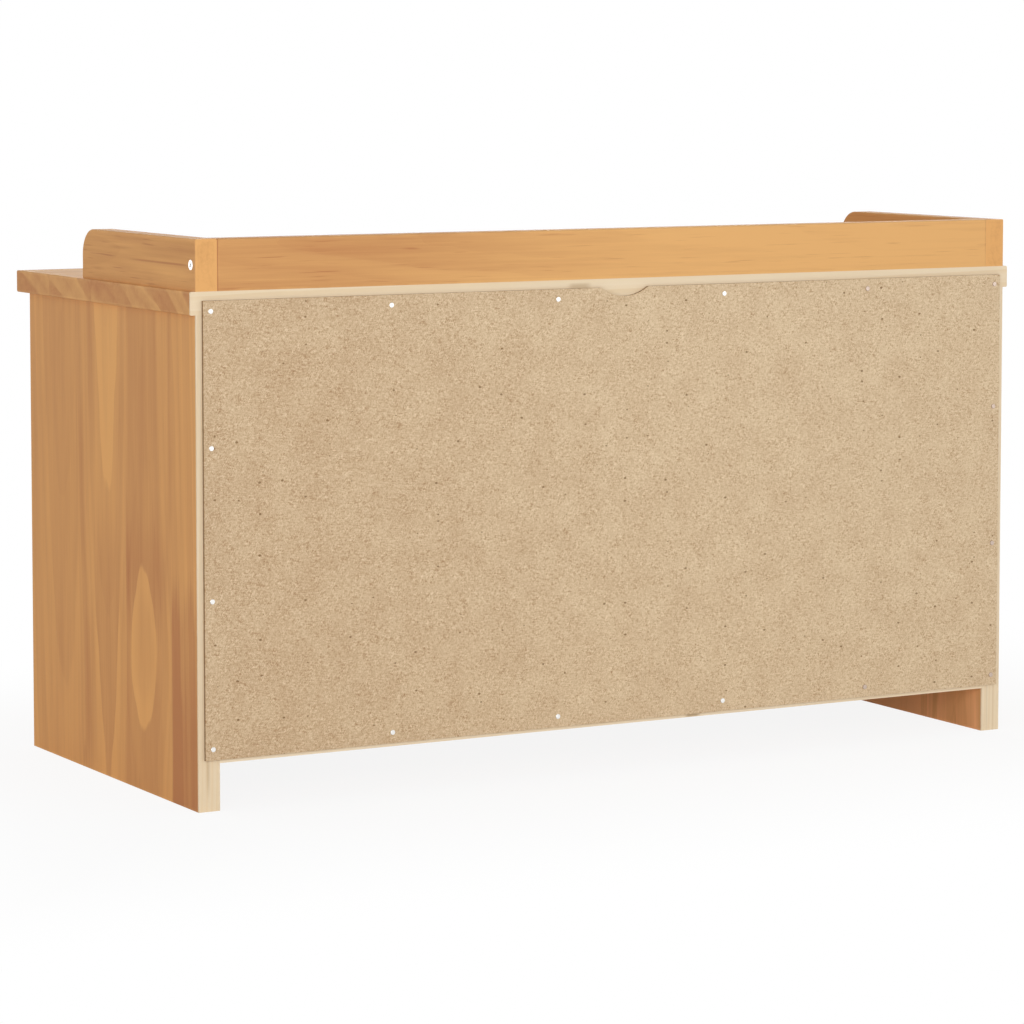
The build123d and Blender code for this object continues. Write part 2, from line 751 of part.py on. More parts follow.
# Magnetic catches hang under the seat behind the doors' meeting stiles.
magnet_middles = [
    (hand * meeting_stile_x, catch_front_y + magnet_depth / 2, catch_body_middle_z) for hand in hands.values()
]
catch_screws_all = catch_screw_places(-1) + catch_screw_places(1)
with BuildPart() as catch_housings:
    for hand in hands.values():
        with Locations((hand * meeting_stile_x, catch_middle_y, seat_underside - catch_flange / 2)):
            Box(catch_width, catch_depth, catch_flange)
        with Locations((hand * meeting_stile_x, catch_middle_y, seat_underside - catch_height / 2)):
            Box(catch_body_width, catch_depth, catch_height)
    with Locations(*magnet_middles):
        Box(magnet_width, magnet_depth, magnet_height, mode=Mode.SUBTRACT)
    with Locations(*catch_screws_all):
        add(catch_screw, mode=Mode.SUBTRACT)
save(catch_housings, "catch_housings")

with BuildPart() as catch_magnets:
    with Locations(*magnet_middles):
        Box(magnet_width, magnet_depth, magnet_height)
save(catch_magnets, "catch_magnets")

with BuildPart() as catch_screws:
    with Locations(*catch_screws_all):
        add(catch_screw)
save(catch_screws, "catch_screws")
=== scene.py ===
import json
import math
import random

import bmesh
import bpy
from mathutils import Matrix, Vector


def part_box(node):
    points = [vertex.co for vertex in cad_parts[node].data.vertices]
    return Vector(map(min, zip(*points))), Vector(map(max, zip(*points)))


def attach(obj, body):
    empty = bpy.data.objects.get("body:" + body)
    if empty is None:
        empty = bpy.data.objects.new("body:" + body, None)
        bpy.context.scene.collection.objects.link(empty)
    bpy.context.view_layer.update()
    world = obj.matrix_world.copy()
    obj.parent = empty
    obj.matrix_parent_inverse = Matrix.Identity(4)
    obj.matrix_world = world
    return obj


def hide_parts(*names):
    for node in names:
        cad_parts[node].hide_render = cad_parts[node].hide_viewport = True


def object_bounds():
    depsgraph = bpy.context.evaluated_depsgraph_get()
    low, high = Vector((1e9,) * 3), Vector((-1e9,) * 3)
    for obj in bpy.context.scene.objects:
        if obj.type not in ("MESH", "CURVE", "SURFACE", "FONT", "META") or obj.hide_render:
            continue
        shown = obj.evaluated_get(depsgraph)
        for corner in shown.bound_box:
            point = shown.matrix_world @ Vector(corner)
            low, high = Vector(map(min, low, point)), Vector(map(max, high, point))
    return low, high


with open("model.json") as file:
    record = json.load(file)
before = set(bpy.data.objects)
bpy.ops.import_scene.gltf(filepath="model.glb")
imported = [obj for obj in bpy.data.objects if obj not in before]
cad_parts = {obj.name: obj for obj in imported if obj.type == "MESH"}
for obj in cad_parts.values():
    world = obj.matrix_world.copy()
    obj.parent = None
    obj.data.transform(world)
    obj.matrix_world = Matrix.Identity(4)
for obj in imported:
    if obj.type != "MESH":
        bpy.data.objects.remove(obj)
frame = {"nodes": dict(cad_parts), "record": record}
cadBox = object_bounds()
scene = bpy.context.scene
scene.view_settings.view_transform = "Standard"
print("frame loaded:", len(frame["nodes"]), "nodes")


# short ways to wire nodes, for shader and geometry trees alike
def feed(tree, socket, value):
    if isinstance(value, bpy.types.NodeSocket):
        tree.links.new(value, socket)
    else:
        socket.default_value = value


def addNode(tree, kind, settings=None, values=None):
    node = tree.nodes.new(kind)
    for key, value in (settings or {}).items():
        setattr(node, key, value)
    for key, value in (values or {}).items():
        feed(tree, node.inputs[key], value)
    return node


def calc(tree, operation, *values):
    node = addNode(tree, "ShaderNodeMath", {"operation": operation})
    for socket, value in zip(node.inputs, values):
        feed(tree, socket, value)
    return node.outputs[0]


def times(tree, first, second):
    return calc(tree, "MULTIPLY", first, second)


def addTimes(tree, value, amount, before):
    return calc(tree, "MULTIPLY_ADD", value, amount, before)


def clamp01(tree, value):
    return addNode(tree, "ShaderNodeClamp", values={"Value": value}).outputs[0]


def remap(tree, value, low, high, outLow=0.0, outHigh=1.0, shape="SMOOTHSTEP"):
    values = {"Value": value, "From Min": low, "From Max": high, "To Min": outLow, "To Max": outHigh}
    return addNode(tree, "ShaderNodeMapRange", {"interpolation_type": shape}, values).outputs[0]


def mixColour(tree, factor, first, second):
    node = addNode(tree, "ShaderNodeMix", {"data_type": "RGBA"})
    feed(tree, node.inputs[0], factor)
    feed(tree, node.inputs[6], first)
    feed(tree, node.inputs[7], second)
    return node.outputs[2]


def combine(tree, x, y, z):
    return addNode(tree, "ShaderNodeCombineXYZ", values={"X": x, "Y": y, "Z": z}).outputs[0]


def stretched(tree, parts, scales):
    return combine(tree, *[times(tree, part, scale) for part, scale in zip(parts, scales)])


def resized(tree, vector, scales):
    return addNode(tree, "ShaderNodeMapping", values={"Vector": vector, "Scale": scales}).outputs[0]


def split(tree, vector):
    return addNode(tree, "ShaderNodeSeparateXYZ", values={"Vector": vector}).outputs


def flip(tree, value):
    return calc(tree, "SUBTRACT", 1.0, value)


def noise(tree, vector, scale, detail, seed):
    values = {"Vector": vector, "W": seed, "Scale": scale, "Detail": detail}
    return addNode(tree, "ShaderNodeTexNoise", {"noise_dimensions": "4D"}, values).outputs[0]


def grainNoise(tree, parts, grain, seed):
    *scales, detail = grain  # scales across, through and along the board, then the noise's detail
    return noise(tree, stretched(tree, parts, scales), 1.0, detail, seed)


def sway(tree, value, amount, before):
    centred = calc(tree, "SUBTRACT", value, 0.5)  # a noise about its middle
    return addTimes(tree, centred, amount, before)


def startGroup(name, inputs, outputs, kind="ShaderNodeTree"):
    tree = bpy.data.node_groups.new(name, kind)
    for label, value in inputs.items():
        socketType = value if isinstance(value, str) else valueTypes[type(value)]
        socket = tree.interface.new_socket(name=label, in_out="INPUT", socket_type=socketType)
        if socketType != value:
            socket.default_value = value
    for label, socketType in outputs.items():
        tree.interface.new_socket(name=label, in_out="OUTPUT", socket_type=socketType)
    return tree, tree.nodes.new("NodeGroupInput").outputs, tree.nodes.new("NodeGroupOutput").inputs


def useGroup(tree, group, values):
    return addNode(tree, "ShaderNodeGroup", {"node_tree": group}, values).outputs


def addObject(name, data):
    made = bpy.data.objects.new(name, data)
    scene.collection.objects.link(made)
    return made


def startMaterial(name, specular):
    material = bpy.data.materials.new(name)
    material.use_nodes = True
    tree = material.node_tree
    shader = tree.nodes["Principled BSDF"]
    shader.inputs["Specular IOR Level"].default_value = specular
    place = tree.nodes.new("ShaderNodeTexCoord").outputs["Object"]
    return material, tree, shader.inputs, place


def surface(tree, sockets, colour, roughness, height, bump):
    values = {"Height": height, "Distance": bump[0], "Strength": bump[1]}
    normal = addNode(tree, "ShaderNodeBump", values=values).outputs[0]
    for label, value in (("Base Color", colour), ("Roughness", roughness), ("Normal", normal)):
        tree.links.new(value, sockets[label])


def dress(nodeName, material):
    frame["nodes"][nodeName].material_slots[0].material = material


def fromSrgb(red, green, blue):
    linear = [((c / 255 + 0.055) / 1.055) ** 2.4 if c > 10 else c / 255 / 12.92 for c in (red, green, blue)]
    return (*linear, 1.0)


floatType = "NodeSocketFloat"
colourType = "NodeSocketColor"
vectorType = "NodeSocketVector"
geometryType = "NodeSocketGeometry"
valueTypes = {float: floatType, tuple: colourType, int: "NodeSocketInt"}

# growth rings of a sawn board: distance from the tree's pith, bent by taper and bow along the grain
rings = {
    "bowLength": 0.085,
    "wobble": 0.0065,
    "wobbleGrain": (11.0, 11.0, 3.2, 2.5),
    "ripple": 0.0022,
    "rippleGrain": (55.0, 55.0, 15.0, 1.0),
    "hazeGrain": (26.0, 26.0, 5.0, 2.0),
    "hazeSeed": 7.0,
    "hazeRange": (0.38, 0.62),
    "crispest": 0.06,
    "calmFrom": 0.65,
    "calmBlur": 1.6,
    "haloSides": ((0.72, 0.98), (0.78, 0.52)),
    "fill": 0.4,
    "rimTurn": (0.88, 0.96),
    "rim": 0.35,
    "fine": 4.0,
    "fineTurn": (0.45, 1.0),
}
ringsGroup, given, result = startGroup(
    "growthRings",
    {
        "Across": 0.0, "Through": 0.0, "Along": 0.0,
        "Pith": 0.0, "Curve": 6.0, "Taper": 0.0, "Bow": 0.0, "Bow Place": 0.0,
        "Ring Gap": 0.012, "Ring Start": 0.0, "Blur": 0.85, "Calm": 0.2, "Seed": 0.0,
    },
    {"Tone": floatType, "Lines": floatType},
)
tree = ringsGroup
parts = (given["Across"], given["Through"], given["Along"])
offset = calc(tree, "SUBTRACT", given["Across"], given["Pith"])
dome = times(tree, times(tree, offset, offset), given["Curve"])
climb = addTimes(tree, given["Taper"], given["Along"], given["Through"])
reach = calc(tree, "DIVIDE", calc(tree, "SUBTRACT", given["Along"], given["Bow Place"]), rings["bowLength"])
reachSquare = times(tree, reach, reach)
dip = calc(tree, "DIVIDE", reachSquare, calc(tree, "ADD", reachSquare, 1.0))
wave = grainNoise(tree, parts, rings["wobbleGrain"], given["Seed"])
ripple = grainNoise(tree, parts, rings["rippleGrain"], given["Seed"])
distance = calc(tree, "ADD", dome, climb)
distance = addTimes(tree, given["Bow"], dip, distance)
distance = sway(tree, wave, rings["wobble"], distance)
distance = sway(tree, ripple, rings["ripple"], distance)
phase = calc(tree, "ADD", calc(tree, "DIVIDE", distance, given["Ring Gap"]), given["Ring Start"])
swing = calc(tree, "SINE", times(tree, phase, math.tau))
haze = grainNoise(tree, parts, rings["hazeGrain"], calc(tree, "ADD", given["Seed"], rings["hazeSeed"]))
soft = remap(tree, haze, *rings["hazeRange"], rings["crispest"], given["Blur"])
nearCalm = times(tree, given["Calm"], rings["calmFrom"])
calm = remap(tree, calc(tree, "ABSOLUTE", offset), nearCalm, given["Calm"], 0.0, rings["calmBlur"])
soft = calc(tree, "ADD", soft, calm)  # rings fade away from the pith
dark = remap(tree, swing, times(tree, soft, -1.0), soft)
turn = calc(tree, "FRACT", phase)
halo = calc(tree, "MAXIMUM", *[remap(tree, turn, *side) for side in rings["haloSides"]])
filled = times(tree, flip(tree, dark), flip(tree, halo))  # a flame within its pale rim
ringTone = addTimes(tree, filled, rings["fill"], dark)
rimLine = times(tree, remap(tree, turn, *rings["rimTurn"]), flip(tree, dark))
feed(tree, result["Tone"], addTimes(tree, rimLine, -rings["rim"], ringTone))
fine = calc(tree, "FRACT", times(tree, phase, rings["fine"]))
feed(tree, result["Lines"], remap(tree, fine, *rings["fineTurn"]))

# a soft-edged patch of darker or paler wood, by its place on the board
patchGroup, given, result = startGroup(
    "tonePatch",
    {
        "Across": 0.0, "Along": 0.0,
        "Centre Across": 0.0, "Centre Along": 0.0,
        "Half Across": 0.02, "Half Along": 0.1,
        "Soft Across": 0.004, "Soft Along": 0.02,
        "Amount": 0.5, "Before": 0.0,
    },
    {"Tone": floatType},
)
tree = patchGroup
masks = []
for way in ("Across", "Along"):
    gone = calc(tree, "ABSOLUTE", calc(tree, "SUBTRACT", given[way], given[f"Centre {way}"]))
    near = calc(tree, "SUBTRACT", given[f"Half {way}"], given[f"Soft {way}"])
    far = calc(tree, "ADD", given[f"Half {way}"], given[f"Soft {way}"])
    masks.append(remap(tree, gone, near, far, 1.0, 0.0))
mask = times(tree, *masks)
feed(tree, result["Tone"], addTimes(tree, mask, given["Amount"], given["Before"]))

# rubbed arrises: how near a point is to two faces of a board at once
arris = {
    "reach": 0.0026,
    "core": 0.0006,
    "breakGrain": (60.0, 3.0),
    "breakRange": (0.35, 0.65),
    "leastWear": 0.25,
}
arrisGroup, given, result = startGroup(
    "rubbedArris",
    {"Place": vectorType, "Half Size": vectorType, "Seed": 0.0},
    {"Edge": floatType},
)
tree = arrisGroup
inside = addNode(tree, "ShaderNodeVectorMath", {"operation": "ABSOLUTE"}, {0: given["Place"]}).outputs[0]
inside = addNode(tree, "ShaderNodeVectorMath", {"operation": "SUBTRACT"}, {0: given["Half Size"], 1: inside})
depths = split(tree, inside.outputs[0])
lower = calc(tree, "MINIMUM", depths[0], depths[1])
upper = calc(tree, "MAXIMUM", depths[0], depths[1])
middle = calc(tree, "MAXIMUM", lower, calc(tree, "MINIMUM", upper, depths[2]))
breakUp = noise(tree, given["Place"], *arris["breakGrain"], given["Seed"])
patchy = remap(tree, breakUp, *arris["breakRange"], arris["leastWear"], 1.0)
rubbed = remap(tree, middle, arris["core"], arris["reach"], 1.0, 0.0)
feed(tree, result["Edge"], times(tree, rubbed, patchy))

# stained pine: tone to colour, with fibre streaks, and bare sawn wood where the stain stops
stain = {
    "pale": fromSrgb(229, 177, 115),
    "brown": fromSrgb(206, 152, 99),
    "red": fromSrgb(190, 130, 86),
    # painted light: the paler colour of the faces inside the cabinet
    "inside": fromSrgb(252, 190, 136),
    "bare": fromSrgb(238, 221, 194),
    "bareLine": fromSrgb(226, 199, 158),
    "bareMark": fromSrgb(186, 158, 120),
    "streakGrain": (420.0, 420.0, 9.0, 3.0),
    "fibreGrain": (1900.0, 1900.0, 45.0, 2.0),
    "cloudGrain": (34.0, 34.0, 6.0, 2.0),
    "bandGrain": (110.0, 110.0, 6.0, 2.0),
    "dashGrain": (640.0, 640.0, 24.0, 1.0),
    "dashRange": (0.62, 0.76),
    "fibreTone": 0.25,
    "lineTone": 0.10,
    "edgeTone": -0.35,
    "redRange": (0.9, 1.7),
    "bareStreakTone": 0.6,
    "bareLineTone": 0.30,
    "roughness": 0.40,
    "streakRoughness": 0.16,
    "edgeRoughness": -0.08,
    "bareRoughness": 0.30,
    "streakHeight": 0.4,
    "fibreHeight": 0.6,
    "lineHeight": 0.25,
}
stainGroup, given, result = startGroup(
    "stainedPine",
    {
        "Across": 0.0, "Through": 0.0, "Along": 0.0,
        "Tone": 0.5, "Lines": 0.0, "Bare": 0.0, "Mark": 0.0, "Edge": 0.0,
        "Cloudy": 0.90, "Banded": 0.60, "Streaky": 0.40, "Dashed": 0.45, "Seed": 0.0,
        "Pale": stain["pale"], "Brown": stain["brown"], "Red": stain["red"],
        "Bare Wood": stain["bare"], "Bare Line": stain["bareLine"], "Bare Mark": stain["bareMark"],
    },
    {"Colour": colourType, "Roughness": floatType, "Height": floatType},
)
tree = stainGroup
parts = (given["Across"], given["Through"], given["Along"])
streaks, fibres, clouds, bands, dashes = [
    grainNoise(tree, parts, stain[f"{mark}Grain"], given["Seed"])
    for mark in ("streak", "fibre", "cloud", "band", "dash")
]
tone = sway(tree, streaks, given["Streaky"], given["Tone"])
tone = sway(tree, fibres, stain["fibreTone"], tone)
tone = sway(tree, clouds, given["Cloudy"], tone)
tone = sway(tree, bands, given["Banded"], tone)
tone = addTimes(tree, remap(tree, dashes, *stain["dashRange"]), given["Dashed"], tone)
tone = addTimes(tree, given["Lines"], stain["lineTone"], tone)
tone = addTimes(tree, given["Edge"], stain["edgeTone"], tone)
colour = mixColour(tree, clamp01(tree, tone), given["Pale"], given["Brown"])
colour = mixColour(tree, remap(tree, tone, *stain["redRange"]), colour, given["Red"])
bareTone = times(tree, streaks, stain["bareStreakTone"])
bareTone = addTimes(tree, given["Lines"], stain["bareLineTone"], bareTone)
bareColour = mixColour(tree, clamp01(tree, bareTone), given["Bare Wood"], given["Bare Line"])
bareColour = mixColour(tree, clamp01(tree, given["Mark"]), bareColour, given["Bare Mark"])
feed(tree, result["Colour"], mixColour(tree, given["Bare"], colour, bareColour))
rough = addTimes(tree, streaks, stain["streakRoughness"], stain["roughness"])
rough = addTimes(tree, given["Edge"], stain["edgeRoughness"], rough)
feed(tree, result["Roughness"], addTimes(tree, given["Bare"], stain["bareRoughness"], rough))
height = times(tree, streaks, stain["streakHeight"])
height = addTimes(tree, fibres, stain["fibreHeight"], height)
feed(tree, result["Height"], addTimes(tree, given["Lines"], stain["lineHeight"], height))
print("wood groups ready")

# what each stave of a glued board says of its tree, packed into the colours of stepped ramps
staveRanges = {
    "pith": (-0.30, 0.30),
    "contrast": (0.0, 1.0),
    "taper": (-0.10, 0.10),
    "start": (0.0, 1.0),
    "gap": (0.004, 0.080),
    "bow": (-0.03, 0.03),
    "bowAt": (-0.40, 0.40),
    "tone": (-1.0, 1.0),
    "blur": (0.0, 1.0),
    "calm": (0.0, 0.2),
}
staveKeys = list(staveRanges)
staveInputs = {
    "Pith": "pith", "Taper": "taper", "Bow": "bow", "Bow Place": "bowAt",
    "Ring Gap": "gap", "Ring Start": "start", "Blur": "blur", "Calm": "calm",
}
usualStave = {"blur": 0.85, "calm": 0.2}
rampChannels = 4  # red, green, blue and alpha carry one value each


def staveRamp(tree, across, staves, keys):
    node = addNode(tree, "ShaderNodeValToRGB", values={"Fac": across})
    ramp = node.color_ramp
    ramp.interpolation = "CONSTANT"
    ramp.elements.remove(ramp.elements[1])
    for number, stave in enumerate(staves):
        element = ramp.elements[0] if number == 0 else ramp.elements.new(stave["from"])
        element.position = stave["from"]
        shares = []
        for key in keys:
            low, high = staveRanges[key]
            shares.append((stave.get(key, usualStave.get(key, 0.0)) - low) / (high - low))
        element.color = (shares + [1.0] * rampChannels)[:rampChannels]
    channels = addNode(tree, "ShaderNodeSeparateColor", values={"Color": node.outputs["Color"]}).outputs
    sockets = [channels[0], channels[1], channels[2], node.outputs["Alpha"]]
    return {
        key: remap(tree, socket, 0.0, 1.0, *staveRanges[key], shape="LINEAR")
        for key, socket in zip(keys, sockets)
    }


def layPatches(tree, patches, across, along, tone):
    for patch in patches:
        values = {"Across": across, "Along": along, "Amount": patch["tone"], "Before": tone}
        for label, key in (("Centre", "at"), ("Half", "half"), ("Soft", "soft")):
            values[f"{label} Across"], values[f"{label} Along"] = patch[key]
        tone = useGroup(tree, patchGroup, values)["Tone"]
    return tone


boardFinish = {
    "specular": 0.02,
    "curve": 6.25,
    "dashed": 0.45,
    "raggedGrain": (230.0, 230.0, 7.0, 2.0),
    # painted light on the faces inside the cabinet: how deep it reaches and how much paler
    "insideSkin": (0.0010, 0.0004),
    "insidePaintedLight": -0.45,
    "endSkin": (0.0010, 0.0003),
    "bareSkin": (0.0012, 0.0008),
    "creep": 0.0008,
    "creepGrain": (160.0, 2.0),
    "bump": (0.00015, 0.35),
}


def nearFace(tree, way, face, skin):
    return remap(tree, way, face - skin[0], face - skin[1])


def pineBoard(nodeName, look):
    material, tree, sockets, place = startMaterial(f"{nodeName}_pine", boardFinish["specular"])
    low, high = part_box(nodeName)
    centre = (low + high) / 2
    half = (high - low) / 2
    fromCentre = addNode(tree, "ShaderNodeMapping", values={"Vector": place, "Location": -centre}).outputs[0]
    local = dict(zip("xyz", split(tree, fromCentre)))
    size = dict(zip("xyz", half))
    through = next(axis for axis in "xyz" if axis not in (look["along"], look["across"]))
    ways = {"Across": local[look["across"]], "Through": local[through], "Along": local[look["along"]]}
    width = 2 * size[look["across"]]
    share = addTimes(tree, ways["Across"], 1 / width, 0.5)
    stave = {}
    for first in range(0, len(staveKeys), rampChannels):
        stave.update(staveRamp(tree, share, look["staves"], staveKeys[first:first + rampChannels]))
    seed = look["seed"]
    ringValues = {label: stave[key] for label, key in staveInputs.items()}
    ringValues.update({**ways, "Curve": look.get("curve", boardFinish["curve"]), "Seed": seed})
    figure = useGroup(tree, ringsGroup, ringValues)
    tone = addTimes(tree, figure["Tone"], stave["contrast"], stave["tone"])
    ragged = grainNoise(tree, ways.values(), boardFinish["raggedGrain"], seed)
    torn = addTimes(tree, ragged, look.get("torn", 0.0), ways["Along"])
    tone = layPatches(tree, look.get("patches", []), ways["Across"], torn, tone)
    grain = {"Dashed": boardFinish["dashed"], "Pale": stain["pale"], **look.get("grain", {})}
    if "insideWay" in look:
        # painted light: the faces inside the cabinet are made paler, standing in for light on their shaded
        # surfaces
        facing = times(tree, ways["Through"], look["insideWay"])
        inside = nearFace(tree, facing, size[through], boardFinish["insideSkin"])
        tone = addTimes(tree, inside, boardFinish["insidePaintedLight"], tone)
        grain["Pale"] = mixColour(tree, inside, grain["Pale"], stain["inside"])
    if "endTone" in look:
        # end grain takes the stain in its own way, and has no long pores
        alongEither = calc(tree, "ABSOLUTE", ways["Along"])
        ends = nearFace(tree, alongEither, size[look["along"]], boardFinish["endSkin"])
        tone = addTimes(tree, ends, look["endTone"], tone)
        grain["Dashed"] = times(tree, flip(tree, ends), grain["Dashed"])
    edgeValues = {"Place": fromCentre, "Half Size": half, "Seed": seed}
    stainValues = {**ways, "Tone": tone, "Lines": figure["Lines"], "Seed": seed, **grain}
    stainValues["Edge"] = useGroup(tree, arrisGroup, edgeValues)["Edge"]
    if look.get("bareBack"):
        # the stain stops, not quite evenly, where the back edge was sawn
        creep = noise(tree, place, *boardFinish["creepGrain"], seed)
        reached = addTimes(tree, creep, boardFinish["creep"], local["y"])
        stainValues["Bare"] = nearFace(tree, reached, size["y"], boardFinish["bareSkin"])
        marks = look.get("marks", [])
        stainValues["Mark"] = layPatches(tree, marks, ways["Through"], ways["Along"], 0.0)
    wood = useGroup(tree, stainGroup, stainValues)
    surface(tree, sockets, wood["Colour"], wood["Roughness"], wood["Height"], boardFinish["bump"])
    dress(nodeName, material)


# ranges that the staves of the boards out of sight are drawn from
grownStave = {
    "edge": 0.15,
    "pith": 0.3,
    "contrast": (0.35, 0.65),
    "taper": (0.012, 0.035),
    "gap": (0.010, 0.020),
    "bow": (0.0, 0.0, 0.008, -0.006),
    "bowAt": (-0.25, 0.25),
    "tone": (0.15, 0.55),
}


def randomStaves(seed, count, reach):
    draw = random.Random(seed)
    jitter = grownStave["edge"]
    edges = [0.0] + [(i + draw.uniform(-jitter, jitter)) / count for i in range(1, count)] + [1.0]
    pithReach = grownStave["pith"]
    staves = []
    for low, high in zip(edges, edges[1:]):
        middle = ((low + high) / 2 - 0.5) * reach
        stave = {"from": low, "pith": middle + draw.uniform(-pithReach, pithReach) * reach / count}
        stave["contrast"] = draw.uniform(*grownStave["contrast"])
        stave["taper"] = draw.choice((-1, 1)) * draw.uniform(*grownStave["taper"])
        stave["start"] = draw.random()
        stave["gap"] = draw.uniform(*grownStave["gap"])
        stave["bow"] = draw.choice(grownStave["bow"])
        stave["bowAt"] = draw.uniform(*grownStave["bowAt"])
        stave["tone"] = draw.uniform(*grownStave["tone"])
        staves.append(stave)
    return staves


# the side panel seen in the photograph, its staves counted from the front edge
rightSide = {
    "along": "z",
    "across": "y",
    "bareBack": True,
    "seed": 3.0,
    "insideWay": -1.0,
    "torn": 0.08,
    "grain": {
        "Dashed": 0.2,
        "Pale": fromSrgb(229, 171, 107),
        "Brown": fromSrgb(206, 150, 97),
        "Bare Wood": fromSrgb(233, 215, 187),
    },
    "staves": [
        {"from": 0.0, "pith": -0.0945, "taper": -0.035, "start": 0.915, "gap": 0.024, "tone": 0.5,
         "contrast": 0.28},
        {"from": 0.30, "pith": -0.0075, "taper": -0.0258, "start": 0.346, "gap": 0.0125, "tone": 0.15,
         "contrast": 0.65, "blur": 0.10, "calm": 0.032},  # the flame
        {"from": 0.592, "pith": 0.0645, "start": 0.355, "gap": 0.020, "tone": 0.25, "bow": 0.010,
         "bowAt": -0.081, "contrast": 0.70, "blur": 0.10, "calm": 0.034},  # the spindle-shaped eye
        {"from": 0.856, "pith": 0.10, "taper": 0.02, "start": 0.55, "gap": 0.016, "tone": 0.35,
         "contrast": 0.3},
    ],
    "patches": [
        {"at": (0.1425, -0.105), "half": (0.0242, 0.115), "soft": (0.0008, 0.020), "tone": 0.60},
        {"at": (0.1265, -0.095), "half": (0.0085, 0.105), "soft": (0.0060, 0.030), "tone": 0.20},
        {"at": (0.1440, -0.150), "half": (0.0240, 0.090), "soft": (0.0060, 0.040), "tone": 0.40},
        {"at": (0.0740, 0.030), "half": (0.0440, 0.030), "soft": (0.0006, 0.035), "tone": 0.35},
        {"at": (0.0660, -0.025), "half": (0.0090, 0.020), "soft": (0.0090, 0.030), "tone": 0.28},
        {"at": (0.1150, 0.145), "half": (0.0022, 0.085), "soft": (0.0020, 0.020), "tone": 0.40},
        {"at": (-0.0335, 0.175), "half": (0.0040, 0.060), "soft": (0.0030, 0.030), "tone": 0.20},
        {"at": (-0.0520, 0.120), "half": (0.0150, 0.120), "soft": (0.0040, 0.040), "tone": 0.25},
        {"at": (-0.0500, -0.080), "half": (0.0160, 0.070), "soft": (0.0050, 0.030), "tone": 0.40},
        {"at": (-0.0560, -0.145), "half": (0.0030, 0.012), "soft": (0.0020, 0.008), "tone": 0.50},
        {"at": (0.0270, -0.020), "half": (0.0100, 0.190), "soft": (0.0040, 0.060), "tone": 0.12},
        {"at": (-0.0060, 0.170), "half": (0.0260, 0.120), "soft": (0.0050, 0.030), "tone": -0.25},
    ],
    "marks": [{"at": (0.001, -0.160), "half": (0.0011, 0.014), "soft": (0.0018, 0.012), "tone": 0.55}],
}
pineBoard("right_side_panel", rightSide)

# the other side panel, of which only the back edge and the foot's inner face show
leftSide = {
    "along": "z",
    "across": "y",
    "bareBack": True,
    "seed": 11.0,
    "insideWay": 1.0,
    "staves": randomStaves(seed=11, count=4, reach=0.333),
    "patches": [
        {"at": (0.1350, -0.150), "half": (0.0420, 0.070), "soft": (0.0100, 0.040), "tone": 0.40},
        # painted light: the panel is paler low down, standing in for light on the shaded inner face of the
        # foot
        {"at": (0.0200, -0.150), "half": (0.0550, 0.070), "soft": (0.0040, 0.040), "tone": -0.50},
    ],
    "marks": [
        {"at": (0.0035, -0.120), "half": (0.0005, 0.075), "soft": (0.0009, 0.020), "tone": 0.28},
        {"at": (-0.0030, -0.150), "half": (0.0006, 0.060), "soft": (0.0010, 0.020), "tone": 0.25},
    ],
}
pineBoard("left_side_panel", leftSide)

# seat, bottom and shelf: staves run the length of the bench
seat = {
    "along": "x",
    "across": "y",
    "bareBack": True,
    "seed": 21.0,
    "curve": 3.2,
    "endTone": 0.45,
    "staves": [
        {"from": 0.0, "pith": -0.215, "taper": 0.02, "start": 0.10, "gap": 0.060, "tone": 0.30,
         "contrast": 0.50, "blur": 0.6},
        {"from": 0.20, "pith": -0.150, "taper": -0.02, "start": 0.45, "gap": 0.065, "tone": 0.20,
         "contrast": 0.55, "blur": 0.6},
        {"from": 0.45, "pith": -0.060, "taper": 0.025, "start": 0.80, "gap": 0.075, "tone": 0.40,
         "contrast": 0.45, "blur": 0.6},
        {"from": 0.70, "pith": 0.025, "taper": 0.015, "start": 0.40, "gap": 0.045, "tone": 0.25,
         "contrast": 0.60, "blur": 0.6},
    ],
    "marks": [{"at": (0.0030, 0.0408), "half": (0.0028, 0.0090), "soft": (0.0014, 0.0040), "tone": 0.50}],
}
pineBoard("seat_board", seat)

bottom = {
    "along": "x",
    "across": "y",
    "bareBack": True,
    "seed": 31.0,
    # painted light: the bare back edge is paler, standing in for light on its shaded strip under the
    # hardboard
    "grain": {"Bare Wood": fromSrgb(246, 231, 206), "Bare Line": fromSrgb(234, 209, 170)},
    "staves": randomStaves(seed=31, count=4, reach=0.333),
    "marks": [{"at": (-0.0076, -0.0671), "half": (0.0012, 0.0060), "soft": (0.0010, 0.0030), "tone": 0.8}],
}
pineBoard("bottom_board", bottom)

shelf = {
    "along": "x",
    "across": "y",
    "seed": 41.0,
    "staves": randomStaves(seed=41, count=3, reach=0.283),
}
pineBoard("shelf", shelf)

# gallery boards, each sawn from one piece
galleryBack = {
    "along": "x",
    "across": "z",
    "seed": 51.0,
    "curve": 3.0,
    "grain": {"Cloudy": 0.35, "Banded": 0.75, "Streaky": 0.70, "Dashed": 0.70},
    "staves": [
        {"from": 0.0, "pith": 0.03, "taper": 0.02, "start": 0.2, "gap": 0.012, "contrast": 0.2, "tone": -0.1},
    ],
    "patches": [
        {"at": (0.0, 0.30), "half": (0.05, 0.20), "soft": (0.01, 0.19), "tone": 1.0},
        {"at": (0.0, 0.3597), "half": (0.05, 0.0008), "soft": (0.01, 0.0004), "tone": 0.9},
        {"at": (0.0, -0.3597), "half": (0.05, 0.0008), "soft": (0.01, 0.0004), "tone": 0.7},
    ],
}
pineBoard("gallery_back", galleryBack)

